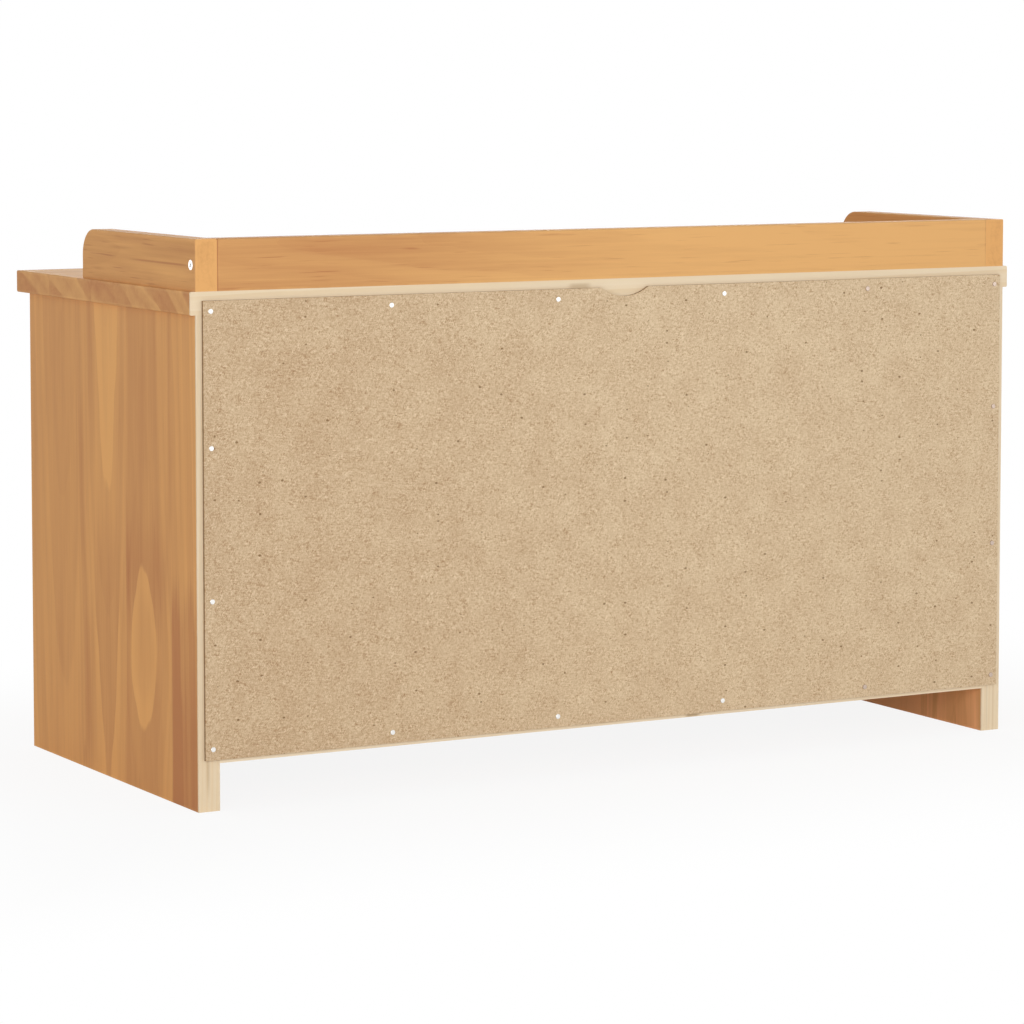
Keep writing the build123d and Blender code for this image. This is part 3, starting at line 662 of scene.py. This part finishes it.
gallerySide = {
    "along": "y",
    "across": "z",
    "curve": 9.0,
    "endTone": -0.6,
    "grain": {
        "Cloudy": 0.40,
        "Banded": 0.90,
        "Streaky": 0.80,
        "Dashed": 0.80,
        "Pale": fromSrgb(229, 173, 110),
        "Brown": fromSrgb(204, 149, 95),
    },
    "staves": [
        {"from": 0.0, "pith": 0.004, "taper": 0.03, "start": 0.1, "gap": 0.020, "contrast": 0.1, "tone": 0.6},
    ],
}
rightStreaks = [
    {"at": (-0.0005, 0.043), "half": (0.0007, 0.050), "soft": (0.0007, 0.020), "tone": 1.0},
    {"at": (0.0080, -0.032), "half": (0.0010, 0.018), "soft": (0.0012, 0.014), "tone": 0.45},
    {"at": (0.0155, -0.012), "half": (0.0020, 0.030), "soft": (0.0018, 0.020), "tone": 0.40},
    {"at": (-0.0105, -0.078), "half": (0.0010, 0.008), "soft": (0.0012, 0.010), "tone": 0.45},
    {"at": (-0.0075, -0.022), "half": (0.0016, 0.016), "soft": (0.0016, 0.014), "tone": 0.30},
    {"at": (0.0100, 0.060), "half": (0.0060, 0.050), "soft": (0.0050, 0.030), "tone": 0.25},
    {"at": (-0.0090, 0.070), "half": (0.0040, 0.030), "soft": (0.0040, 0.020), "tone": -0.45},
]
pineBoard("right_gallery_side", {**gallerySide, "seed": 61.0, "patches": rightStreaks})
pineBoard("left_gallery_side", {**gallerySide, "seed": 66.0})

# doors: stiles and panels run upright, rails across, and the knobs are turned on their own axis
doorSeeds = {"left": 100, "right": 200}
stile = {"along": "z", "across": "x", "staves": 1, "reach": 0.055}
rail = {**stile, "along": "x", "across": "z"}
doorBoards = {
    "hinge_stile": {**stile, "seed": 0},
    "meeting_stile": {**stile, "seed": 1},
    "top_rail": {**rail, "seed": 5},
    "bottom_rail": {**rail, "seed": 6},
    "panel": {**stile, "seed": 9, "staves": 3, "reach": 0.265},
    "knob": {**stile, "along": "y", "seed": 13, "reach": 0.03},
}
for side, firstSeed in doorSeeds.items():
    for name, look in doorBoards.items():
        seed = firstSeed + look["seed"]
        staves = randomStaves(seed, look["staves"], look["reach"])
        pineBoard(f"{side}_door_{name}", {**look, "seed": seed, "staves": staves})
print("pine boards stained")

# hardboard back: pressed fibre laid three ways, in tufts, with a few dark chips
hardboard = {
    "colour": fromSrgb(211, 186, 151),
    "dark": fromSrgb(138, 85, 18),
    "pale": fromSrgb(250, 229, 196),
    "speck": fromSrgb(108, 74, 24),
    # the rim colour is the sawn edge's own darker colour, darkened further as painted shade
    "rim": fromSrgb(126, 98, 70),
    "specular": 0.2,
    "fibres": {0.15: (270.0, 1.0, 1150.0), 1.25: (420.0, 1.0, 1500.0), -0.85: (340.0, 1.0, 1350.0)},
    "fibreDetail": 2.0,
    "darkest": 0.78,
    "palest": -0.95,
    "tufts": (110.0, 0.70, 1.30),
    "tuftRange": (0.36, 0.64),
    "cloudGrain": (34.0, 4.0),
    "clouds": 0.16,
    "gritGrain": (900.0, 3.0),
    "gritPale": 0.25,
    "noiseRange": (0.3, 0.7),
    # painted shade: where the darkening across the board starts, and how dark it gets
    "paintedShadeFrom": 0.3,
    "paintedShade": 0.22,
    "chipScales": (52.0, 74.0, 0.0),
    "chipsFrom": 0.70,
    "chipSize": 0.064,
    "chipCover": 0.7,
    "rimSkin": (0.0012, 0.0002),
    "rimCover": 0.8,
    "roughness": (0.62, 0.82),
    "bump": (0.00012, 0.3),
    "seeds": {"fibre": 5.0, "tuft": 8.0, "cloud": 2.0, "grit": 3.0},
}
seeds = hardboard["seeds"]
usual = hardboard["noiseRange"]
material, tree, sockets, place = startMaterial("back_hardboard", hardboard["specular"])
fibre = -0.5 * len(hardboard["fibres"])
for turn, scale in hardboard["fibres"].items():
    values = {"Vector": place, "Angle": turn}
    turned = addNode(tree, "ShaderNodeVectorRotate", {"rotation_type": "Y_AXIS"}, values).outputs[0]
    laid = resized(tree, turned, scale)
    fibre = calc(tree, "ADD", noise(tree, laid, 1.0, hardboard["fibreDetail"], seeds["fibre"] + turn), fibre)
tuftScale, tuftLow, tuftHigh = hardboard["tufts"]
tuft = noise(tree, place, tuftScale, hardboard["fibreDetail"], seeds["tuft"])
fibre = times(tree, fibre, remap(tree, tuft, *hardboard["tuftRange"], tuftLow, tuftHigh))
darkMask = remap(tree, fibre, 0.0, hardboard["darkest"], shape="LINEAR")
paleMask = remap(tree, fibre, 0.0, hardboard["palest"], shape="LINEAR")
cloud = noise(tree, place, *hardboard["cloudGrain"], seeds["cloud"])
grit = noise(tree, place, *hardboard["gritGrain"], seeds["grit"])
backLow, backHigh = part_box("back_panel")
across, depth, upright = split(tree, place)
# painted shade: the board darkens towards +X, standing in for light falling off across it
paintedShade = remap(tree, across, backLow.x * hardboard["paintedShadeFrom"], backHigh.x, 0.0, hardboard["paintedShade"])
cloudy = remap(tree, cloud, *usual, 0.0, hardboard["clouds"])
colour = mixColour(tree, calc(tree, "ADD", cloudy, paintedShade), hardboard["colour"], hardboard["dark"])
colour = mixColour(tree, remap(tree, grit, *usual, 0.0, hardboard["gritPale"]), colour, hardboard["pale"])
colour = mixColour(tree, darkMask, colour, hardboard["dark"])
colour = mixColour(tree, paleMask, colour, hardboard["pale"])
spread = stretched(tree, (across, upright, depth), hardboard["chipScales"])
chips = addNode(tree, "ShaderNodeTexVoronoi", {"voronoi_dimensions": "2D"}, {"Vector": spread, "Scale": 1.0})
picked = addNode(tree, "ShaderNodeSeparateColor", values={"Color": chips.outputs["Color"]}).outputs[0]
chipSize = remap(tree, picked, hardboard["chipsFrom"], 1.0, 0.0, hardboard["chipSize"])
chipMask = calc(tree, "LESS_THAN", chips.outputs["Distance"], chipSize)
colour = mixColour(tree, times(tree, chipMask, hardboard["chipCover"]), colour, hardboard["speck"])
# partly painted shade: the rim is darkened beyond the sawn edge's own colour
rimFrom, rimTo = hardboard["rimSkin"]  # the sawn rim is darker than the pressed face
rim = remap(tree, depth, backHigh.y - rimFrom, backHigh.y - rimTo, hardboard["rimCover"], 0.0)
colour = mixColour(tree, rim, colour, hardboard["rim"])
rough = remap(tree, grit, *usual, *hardboard["roughness"])
surface(tree, sockets, colour, rough, calc(tree, "SUBTRACT", grit, fibre), hardboard["bump"])
dress("back_panel", material)
print("hardboard back ready")

# handled metal: fine scratches and a cloudy bloom, shared by the plated, cast and brass fittings
handled = {
    "specular": 0.5,
    "bloomGrain": (240.0, 3.0),
    "bloomRange": (0.35, 0.65),
    "scratchScales": (900.0, 900.0, 5200.0),
    "scratchDetail": 2.0,
    "scratchShare": 0.5,
    "bloomShare": 0.5,
    "bump": (0.00003, 0.25),
    "farSoft": 0.05,
}
metalGroup, given, result = startGroup(
    "handledMetal",
    {
        "Place": vectorType, "Bright": (0.9, 0.9, 0.9, 1.0), "Dull": (0.6, 0.6, 0.6, 1.0),
        "Smooth": 0.25, "Rough": 0.5, "Seed": 0.0,
    },
    {"Colour": colourType, "Roughness": floatType, "Height": floatType},
)
tree = metalGroup
bloom = noise(tree, given["Place"], *handled["bloomGrain"], given["Seed"])
drawn = resized(tree, given["Place"], handled["scratchScales"])
scratch = noise(tree, drawn, 1.0, handled["scratchDetail"], given["Seed"])
worn = remap(tree, bloom, *handled["bloomRange"])
feed(tree, result["Colour"], mixColour(tree, worn, given["Bright"], given["Dull"]))
gloss = times(tree, worn, handled["bloomShare"])
gloss = addTimes(tree, scratch, handled["scratchShare"], gloss)
feed(tree, result["Roughness"], remap(tree, gloss, 0.0, 1.0, given["Smooth"], given["Rough"], shape="LINEAR"))
feed(tree, result["Height"], scratch)


def metal(name, look):
    material, tree, sockets, place = startMaterial(name, handled["specular"])
    values = {"Place": place, "Bright": look["bright"], "Dull": look["dull"], "Seed": look["seed"]}
    values.update({"Smooth": look["smooth"], "Rough": look["rough"]})
    finish = useGroup(tree, metalGroup, values)
    colour = finish["Colour"]
    if "farPaintedShade" in look:
        # painted shade: the nails towards the far corner are coloured darker, standing in for the glint they
        # lack there
        soft = handled["farSoft"]
        far = remap(tree, split(tree, place)[0], look["farFrom"] - soft, look["farFrom"] + soft, 1.0, 0.0)
        colour = mixColour(tree, far, colour, look["farPaintedShade"])
    sockets["Metallic"].default_value = look["metallic"]
    surface(tree, sockets, colour, finish["Roughness"], finish["Height"], handled["bump"])
    return material


metalLooks = {
    "zinc_steel": {
        "bright": (0.72, 0.72, 0.73, 1.0), "dull": (0.54, 0.55, 0.58, 1.0),
        "smooth": 0.24, "rough": 0.46, "metallic": 1.0, "seed": 1.0,
    },
    "cam_zinc": {
        "bright": (0.66, 0.66, 0.67, 1.0), "dull": (0.50, 0.50, 0.52, 1.0),
        "smooth": 0.35, "rough": 0.60, "metallic": 1.0, "seed": 2.0,
    },
    "hinge_brass": {
        "bright": (0.83, 0.62, 0.27, 1.0), "dull": (0.66, 0.46, 0.19, 1.0),
        "smooth": 0.20, "rough": 0.42, "metallic": 1.0, "seed": 3.0,
    },
    "magnet": {
        "bright": (0.055, 0.053, 0.052, 1.0), "dull": (0.035, 0.034, 0.034, 1.0),
        "smooth": 0.45, "rough": 0.70, "metallic": 0.6, "seed": 4.0,
    },
    "catch_plastic": {
        "bright": (0.145, 0.078, 0.040, 1.0), "dull": (0.115, 0.060, 0.030, 1.0),
        "smooth": 0.38, "rough": 0.55, "metallic": 0.0, "seed": 5.0,
    },
}
finishes = {slot: metal(slot, look) for slot, look in metalLooks.items()}
brightZinc = {"bright": (0.88, 0.87, 0.84, 1.0), "dull": (0.76, 0.75, 0.73, 1.0), "seed": 6.0}
screwLook = {**metalLooks["zinc_steel"], **brightZinc}
# painted shade: the colour the far nails darken to
nailLook = {**screwLook, "farPaintedShade": (0.50, 0.40, 0.335, 1.0), "farFrom": -0.16}
finishes["screw_zinc"] = metal("screw_zinc", screwLook)
finishes["nail_zinc"] = metal("nail_zinc", nailLook)

# beech dowels, hidden in the joints
beech = {
    "pale": fromSrgb(222, 190, 150),
    "flecks": fromSrgb(178, 138, 98),
    "specular": 0.25,
    "seed": 1.0,
    "fleckScales": (900.0, 900.0, 900.0),
    "fleckDetail": 2.0,
    "fleckRange": (0.5, 0.75),
    "noiseRange": (0.3, 0.7),
    "roughness": (0.55, 0.75),
    "bump": (0.00005, 0.3),
}
material, tree, sockets, place = startMaterial("beech_dowel", beech["specular"])
laid = resized(tree, place, beech["fleckScales"])
fleck = noise(tree, laid, 1.0, beech["fleckDetail"], beech["seed"])
colour = mixColour(tree, remap(tree, fleck, *beech["fleckRange"]), beech["pale"], beech["flecks"])
rough = remap(tree, fleck, *beech["noiseRange"], *beech["roughness"])
surface(tree, sockets, colour, rough, fleck, beech["bump"])
finishes["beech_dowel"] = material

slotOf = {subpart["node"]: subpart["material_slot"] for subpart in frame["record"]["subparts"]}
for nodeName, slot in slotOf.items():
    if slot in finishes:
        dress(nodeName, finishes[slot])
print("fittings finished")


# fasteners: one lathe profile in Geometry Nodes, with a cross recess for the screws
fastenerForm = {
    "corners": 40,
    "creaseAngle": 0.5,
    "tipWidth": 0.08,
    "underRim": 0.02,
    "leastRim": 0.00002,
    "bevelDrop": -0.3,
    "bevelDraw": -0.35,
    "weldGap": 1e-6,
}


def indexSwitch(tree, index, values):
    node = addNode(tree, "GeometryNodeIndexSwitch", {"data_type": "FLOAT"})
    while len(node.index_switch_items) < len(values):
        node.index_switch_items.new()
    feed(tree, node.inputs[0], index)
    for socket, value in zip(list(node.inputs)[1:], values):
        feed(tree, socket, value)
    return node.outputs[0]


def lathe(tree, heights, radii, corners):
    line = addNode(tree, "GeometryNodeMeshLine", values={"Count": len(heights)})
    path = addNode(tree, "GeometryNodeMeshToCurve", values={"Mesh": line.outputs[0]})
    index = tree.nodes.new("GeometryNodeInputIndex").outputs[0]
    spot = combine(tree, 0.0, 0.0, indexSwitch(tree, index, heights))
    path = addNode(tree, "GeometryNodeSetPosition", values={"Geometry": path.outputs[0], "Position": spot})
    ring = addNode(tree, "GeometryNodeCurvePrimitiveCircle", values={"Resolution": corners})
    feed(tree, next(s for s in ring.inputs if s.name == "Radius"), 1.0)
    values = {"Curve": path.outputs[0], "Profile Curve": ring.outputs[0], "Fill Caps": True}
    values["Scale"] = indexSwitch(tree, index, radii)
    return addNode(tree, "GeometryNodeCurveToMesh", values=values).outputs[0]


def fastenerTree(name, crossed):
    inputs = {
        "Places": geometryType,
        "Head Diameter": 0.008, "Head Rise": 0.0, "Head Drop": 0.002, "Head Bevel": 0.0003,
        "Shank Diameter": 0.004, "Length": 0.05,
        "Cross Length": 0.0045, "Cross Width": 0.001, "Cross Depth": 0.0012,
        "Turn Seed": 1, "Finish": "NodeSocketMaterial",
    }
    tree, given, result = startGroup(name, inputs, {"Fasteners": geometryType}, "GeometryNodeTree")
    headRadius = times(tree, given["Head Diameter"], 0.5)
    shankRadius = times(tree, given["Shank Diameter"], 0.5)
    tip = times(tree, given["Length"], -1.0)
    rimLow = calc(tree, "SUBTRACT", given["Head Rise"], given["Head Bevel"])
    underShare = times(tree, rimLow, fastenerForm["underRim"])
    underHead = calc(tree, "MINIMUM", underShare, calc(tree, "SUBTRACT", rimLow, fastenerForm["leastRim"]))
    heights = [
        tip,
        calc(tree, "ADD", tip, given["Shank Diameter"]),
        times(tree, given["Head Drop"], -1.0),
        underHead,
        rimLow,
        addTimes(tree, given["Head Bevel"], fastenerForm["bevelDrop"], given["Head Rise"]),
        given["Head Rise"],
    ]
    radii = [
        times(tree, shankRadius, fastenerForm["tipWidth"]),
        shankRadius,
        shankRadius,
        headRadius,
        headRadius,
        addTimes(tree, given["Head Bevel"], fastenerForm["bevelDraw"], headRadius),
        calc(tree, "SUBTRACT", headRadius, given["Head Bevel"]),
    ]
    body = lathe(tree, heights, radii, fastenerForm["corners"])
    if crossed:
        depth = times(tree, given["Cross Depth"], 2.0)  # half of each bar stands above the head
        lengthWays = combine(tree, given["Cross Length"], given["Cross Width"], depth)
        widthWays = combine(tree, given["Cross Width"], given["Cross Length"], depth)
        lift = combine(tree, 0.0, 0.0, given["Head Rise"])
        cut = addNode(tree, "GeometryNodeMeshBoolean", {"operation": "DIFFERENCE", "solver": "EXACT"})
        feed(tree, cut.inputs["Mesh 1"], body)
        for size in (lengthWays, widthWays):
            bar = addNode(tree, "GeometryNodeMeshCube", values={"Size": size}).outputs[0]
            moved = addNode(tree, "GeometryNodeTransform", values={"Geometry": bar, "Translation": lift})
            tree.links.new(moved.outputs[0], cut.inputs["Mesh 2"])
        body = cut.outputs[0]
    angle = tree.nodes.new("GeometryNodeInputMeshEdgeAngle").outputs[0]
    sharp = calc(tree, "GREATER_THAN", angle, fastenerForm["creaseAngle"])
    smoothAll = addNode(tree, "GeometryNodeSetShadeSmooth", values={0: body, "Shade Smooth": True})
    creased = addNode(tree, "GeometryNodeSetShadeSmooth", {"domain": "EDGE"}, {0: smoothAll.outputs[0]})
    feed(tree, creased.inputs["Selection"], sharp)
    feed(tree, creased.inputs["Shade Smooth"], False)
    way = addNode(tree, "GeometryNodeInputNamedAttribute", {"data_type": "FLOAT_VECTOR"}, {"Name": "facing"})
    aim = addNode(tree, "FunctionNodeAlignRotationToVector", {"axis": "Z"}, {"Vector": way.outputs[0]})
    turn = addNode(tree, "FunctionNodeRandomValue", {"data_type": "FLOAT"}, {"Seed": given["Turn Seed"]})
    limits = {socket.identifier: socket for socket in turn.inputs}
    limits["Min_001"].default_value = 0.0
    limits["Max_001"].default_value = math.pi
    spin = next(socket for socket in turn.outputs if socket.identifier == "Value_001")
    twist = addNode(tree, "FunctionNodeAxisAngleToRotation", values={"Axis": (0.0, 0.0, 1.0), "Angle": spin})
    aim = addNode(
        tree,
        "FunctionNodeRotateRotation",
        {"rotation_space": "LOCAL"},
        {"Rotation": aim.outputs[0], "Rotate By": twist.outputs[0]},
    )
    values = {"Points": given["Places"], "Instance": creased.outputs[0], "Rotation": aim.outputs[0]}
    copies = addNode(tree, "GeometryNodeInstanceOnPoints", values=values)
    real = addNode(tree, "GeometryNodeRealizeInstances", values={"Geometry": copies.outputs[0]})
    values = {"Geometry": real.outputs[0], "Material": given["Finish"]}
    feed(tree, result["Fasteners"], addNode(tree, "GeometryNodeSetMaterial", values=values).outputs[0])
    return tree


def solidsOf(nodeName):
    work = bmesh.new()
    work.from_mesh(frame["nodes"][nodeName].data)
    bmesh.ops.remove_doubles(work, verts=work.verts, dist=fastenerForm["weldGap"])
    work.verts.ensure_lookup_table()
    seen = set()
    solids = []
    for vert in work.verts:
        if vert.index in seen:
            continue
        seen.add(vert.index)
        waiting = [vert]
        corners = []
        while waiting:
            current = waiting.pop()
            corners.append(current.co.copy())
            for edge in current.link_edges:
                other = edge.other_vert(current)
                if other.index not in seen:
                    seen.add(other.index)
                    waiting.append(other)
        solids.append(corners)
    work.free()
    return solids


def fastenerPlaces(nodeName, facing, headRise):
    places = []
    for corners in solidsOf(nodeName):
        low = Vector([min(corner[i] for corner in corners) for i in range(3)])
        high = Vector([max(corner[i] for corner in corners) for i in range(3)])
        centre = (low + high) / 2
        outward = (math.copysign(1.0, centre.x), 0.0, 0.0)
        way = Vector(outward if facing == "outward" else facing)
        reach = sum(abs(way[i]) * (high[i] - low[i]) / 2 for i in range(3))
        places.append((centre + way * (reach - headRise), way))
    return places


def fasteners(pieceName, nodeName, body, facing, look):
    slot = slotOf[nodeName]
    tree = fastenerTrees["plain" if look.get("plain") else "crossed"]
    places = fastenerPlaces(nodeName, facing, look.get("Head Rise", 0.0))
    points = bpy.data.meshes.new(pieceName)
    points.from_pydata([place for place, way in places], [], [])
    ways = points.attributes.new("facing", "FLOAT_VECTOR", "POINT")
    for item, (place, way) in zip(ways.data, places):
        item.vector = way
    piece = addObject(pieceName, points)
    maker = piece.modifiers.new("fasteners", "NODES")
    maker.node_group = tree
    for socket in tree.interface.items_tree:
        if socket.name in look:
            maker[socket.identifier] = look[socket.name]
        elif socket.name == "Finish":
            maker[socket.identifier] = finishes[look.get("finish", slot)]
    bpy.context.view_layer.update()
    made = bpy.data.meshes.new_from_object(piece.evaluated_get(bpy.context.evaluated_depsgraph_get()))
    piece.modifiers.clear()
    piece.data = made
    made.name = pieceName
    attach(piece, body)
    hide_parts(nodeName)


fastenerTrees = {"crossed": fastenerTree("crossScrews", True), "plain": fastenerTree("flatNails", False)}

nails = {
    "plain": True,
    "finish": "nail_zinc",
    "Head Diameter": 0.0040, "Head Rise": 0.0008, "Head Drop": 0.00001, "Head Bevel": 0.0003,
    "Shank Diameter": 0.0016, "Length": 0.020,
    "Turn Seed": 1,
}
fasteners("backNails", "back_panel_nails", "carcass", (0, 1, 0), nails)

cornerScrews = {
    "finish": "screw_zinc",
    "Head Diameter": 0.008, "Head Rise": 0.0, "Head Drop": 0.002, "Head Bevel": 0.0002,
    "Shank Diameter": 0.004, "Length": 0.050,
    "Cross Length": 0.0040, "Cross Width": 0.0008, "Cross Depth": 0.0012,
    "Turn Seed": 4,
}
fasteners("cornerScrews", "gallery_corner_screws", "carcass", "outward", cornerScrews)

seatScrews = {**cornerScrews, "finish": "zinc_steel", "Length": 0.045, "Turn Seed": 5}
fasteners("gallerySeatScrews", "gallery_seat_screws", "carcass", (0, 0, -1), seatScrews)

smallScrews = {
    "Head Diameter": 0.0058, "Head Rise": 0.0, "Head Drop": 0.0014, "Head Bevel": 0.00015,
    "Shank Diameter": 0.003, "Length": 0.012,
    "Cross Length": 0.0034, "Cross Width": 0.0008, "Cross Depth": 0.0011,
    "Turn Seed": 6,
}
fasteners("catchScrews", "catch_screws", "carcass", (0, 0, -1), smallScrews)

hingeScrews = {**smallScrews, "Length": 0.014}
knobScrews = {
    **smallScrews,
    "Head Diameter": 0.008, "Head Rise": 0.0024, "Head Drop": 0.00001, "Head Bevel": 0.0011,
    "Shank Diameter": 0.004, "Length": 0.030,
    "Cross Length": 0.0046, "Cross Width": 0.0010, "Cross Depth": 0.0014,
}
handX = {"left": -1, "right": 1}
for side, hand in handX.items():
    door = f"{side}_door"
    # piece: node, body, facing, look and turn
    screws = {
        "HingeFrameScrews": (f"{side}_hinge_frame_screws", "carcass", (-hand, 0, 0), hingeScrews, 10),
        "HingeDoorScrews": (f"{door}_hinge_screws", door, (hand, 0, 0), hingeScrews, 14),
        "StrikeScrew": (f"{door}_strike_screw", door, (0, 1, 0), smallScrews, 18),
        "KnobScrew": (f"{door}_knob_screw", door, (0, 1, 0), knobScrews, 22),
    }
    for name, (nodeName, body, facing, look, turn) in screws.items():
        fasteners(side + name, nodeName, body, facing, {**look, "Turn Seed": turn + hand})
print("fasteners made")

# floor: white to the camera further out, with the bench's own soft shadow near it
floorLook = {
    "half": 4.0,
    "colour": (0.93, 0.93, 0.93, 1.0),
    "roughness": 0.9,
    "nearWhite": 0.89,
    "fadeFrom": 0.0,
    "fadeTo": 0.40,
}
floorMesh = bpy.data.meshes.new("floor")
reach = floorLook["half"]
floorCorners = [(-reach, -reach, 0.0), (reach, -reach, 0.0), (reach, reach, 0.0), (-reach, reach, 0.0)]
floorMesh.from_pydata(floorCorners, [], [(0, 1, 2, 3)])
floor = addObject("floor", floorMesh)


def whiteRays(tree):
    ray = tree.nodes.new("ShaderNodeLightPath").outputs
    seen = calc(tree, "MAXIMUM", ray["Is Camera Ray"], ray["Is Glossy Ray"])
    return calc(tree, "MAXIMUM", seen, ray["Is Transmission Ray"])


material, tree, sockets, place = startMaterial("floor_paper", 0.0)
sockets["Base Color"].default_value = floorLook["colour"]
sockets["Roughness"].default_value = floorLook["roughness"]
across, deep = split(tree, place)[:2]
beside = calc(tree, "SUBTRACT", calc(tree, "ABSOLUTE", across), cadBox[1].x)
behind = calc(tree, "SUBTRACT", calc(tree, "ABSOLUTE", deep), cadBox[1].y)
gap = calc(tree, "MAXIMUM", beside, behind)
whiter = remap(tree, gap, floorLook["fadeFrom"], floorLook["fadeTo"], floorLook["nearWhite"], 1.0)
glow = addNode(tree, "ShaderNodeEmission", values={"Strength": 1.0})
both = addNode(tree, "ShaderNodeMixShader", values={0: times(tree, whiteRays(tree), whiter)})
tree.links.new(tree.nodes["Principled BSDF"].outputs[0], both.inputs[1])
tree.links.new(glow.outputs[0], both.inputs[2])
tree.links.new(both.outputs[0], tree.nodes["Material Output"].inputs["Surface"])
floorMesh.materials.append(material)

# studio light: an even room and four broad soft lamps, two of them stronger for the side and the front
roomLight = 0.50
lampAim = Vector((0.0, 0.0, 0.2))
lampSize = (2.4, 1.5)
world = bpy.data.worlds.new("studio")
scene.world = world
world.use_nodes = True
tree = world.node_tree
dim = tree.nodes["Background"]
dim.inputs["Color"].default_value = (1.0, 1.0, 1.0, 1.0)
dim.inputs["Strength"].default_value = roomLight
white = addNode(tree, "ShaderNodeBackground", values={"Color": (1.0, 1.0, 1.0, 1.0), "Strength": 1.0})
values = {0: whiteRays(tree), 1: dim.outputs[0], 2: white.outputs[0]}
both = addNode(tree, "ShaderNodeMixShader", values=values)
tree.links.new(both.outputs[0], tree.nodes["World Output"].inputs["Surface"])

lamps = {
    "backRightLamp": {"at": (1.75, 2.85, 0.8), "power": 40.0},
    "backLeftLamp": {"at": (-1.70, 2.85, 0.8), "power": 16.0},
    "frontRightLamp": {"at": (1.70, -2.85, 0.8), "power": 13.0},
    "frontLeftLamp": {"at": (-1.70, -2.85, 0.8), "power": 28.0},
}
for name, look in lamps.items():
    lamp = bpy.data.lights.new(name, "AREA")
    lamp.shape = "RECTANGLE"
    lamp.size, lamp.size_y = lampSize
    lamp.energy = look["power"]
    holder = addObject(name, lamp)
    holder.location = look["at"]
    holder.rotation_mode = "QUATERNION"
    holder.rotation_quaternion = (lampAim - holder.location).to_track_quat("-Z", "Y")

# camera, placed by the corners of the bench in the photograph
view = {
    "at": (1.5811, 2.8145, 0.5738),
    "yaw": -150.730,
    "pitch": -4.441,
    "sensor": 36.0,
    "lens": 134.17,
    "shift": -0.15,
    "clipEnd": 100.0,
}
camera = bpy.data.cameras.new("camera")
camera.sensor_width = view["sensor"]
camera.lens = view["lens"]
camera.shift_y = view["shift"]
camera.clip_end = view["clipEnd"]
eye = addObject("camera", camera)
eye.location = view["at"]
yaw = math.radians(view["yaw"])
pitch = math.radians(view["pitch"])
forward = Vector((math.sin(yaw) * math.cos(pitch), math.cos(yaw) * math.cos(pitch), math.sin(pitch)))
eye.rotation_mode = "QUATERNION"
eye.rotation_quaternion = forward.to_track_quat("-Z", "Y")
scene.camera = eye
print("stage, light and camera set")
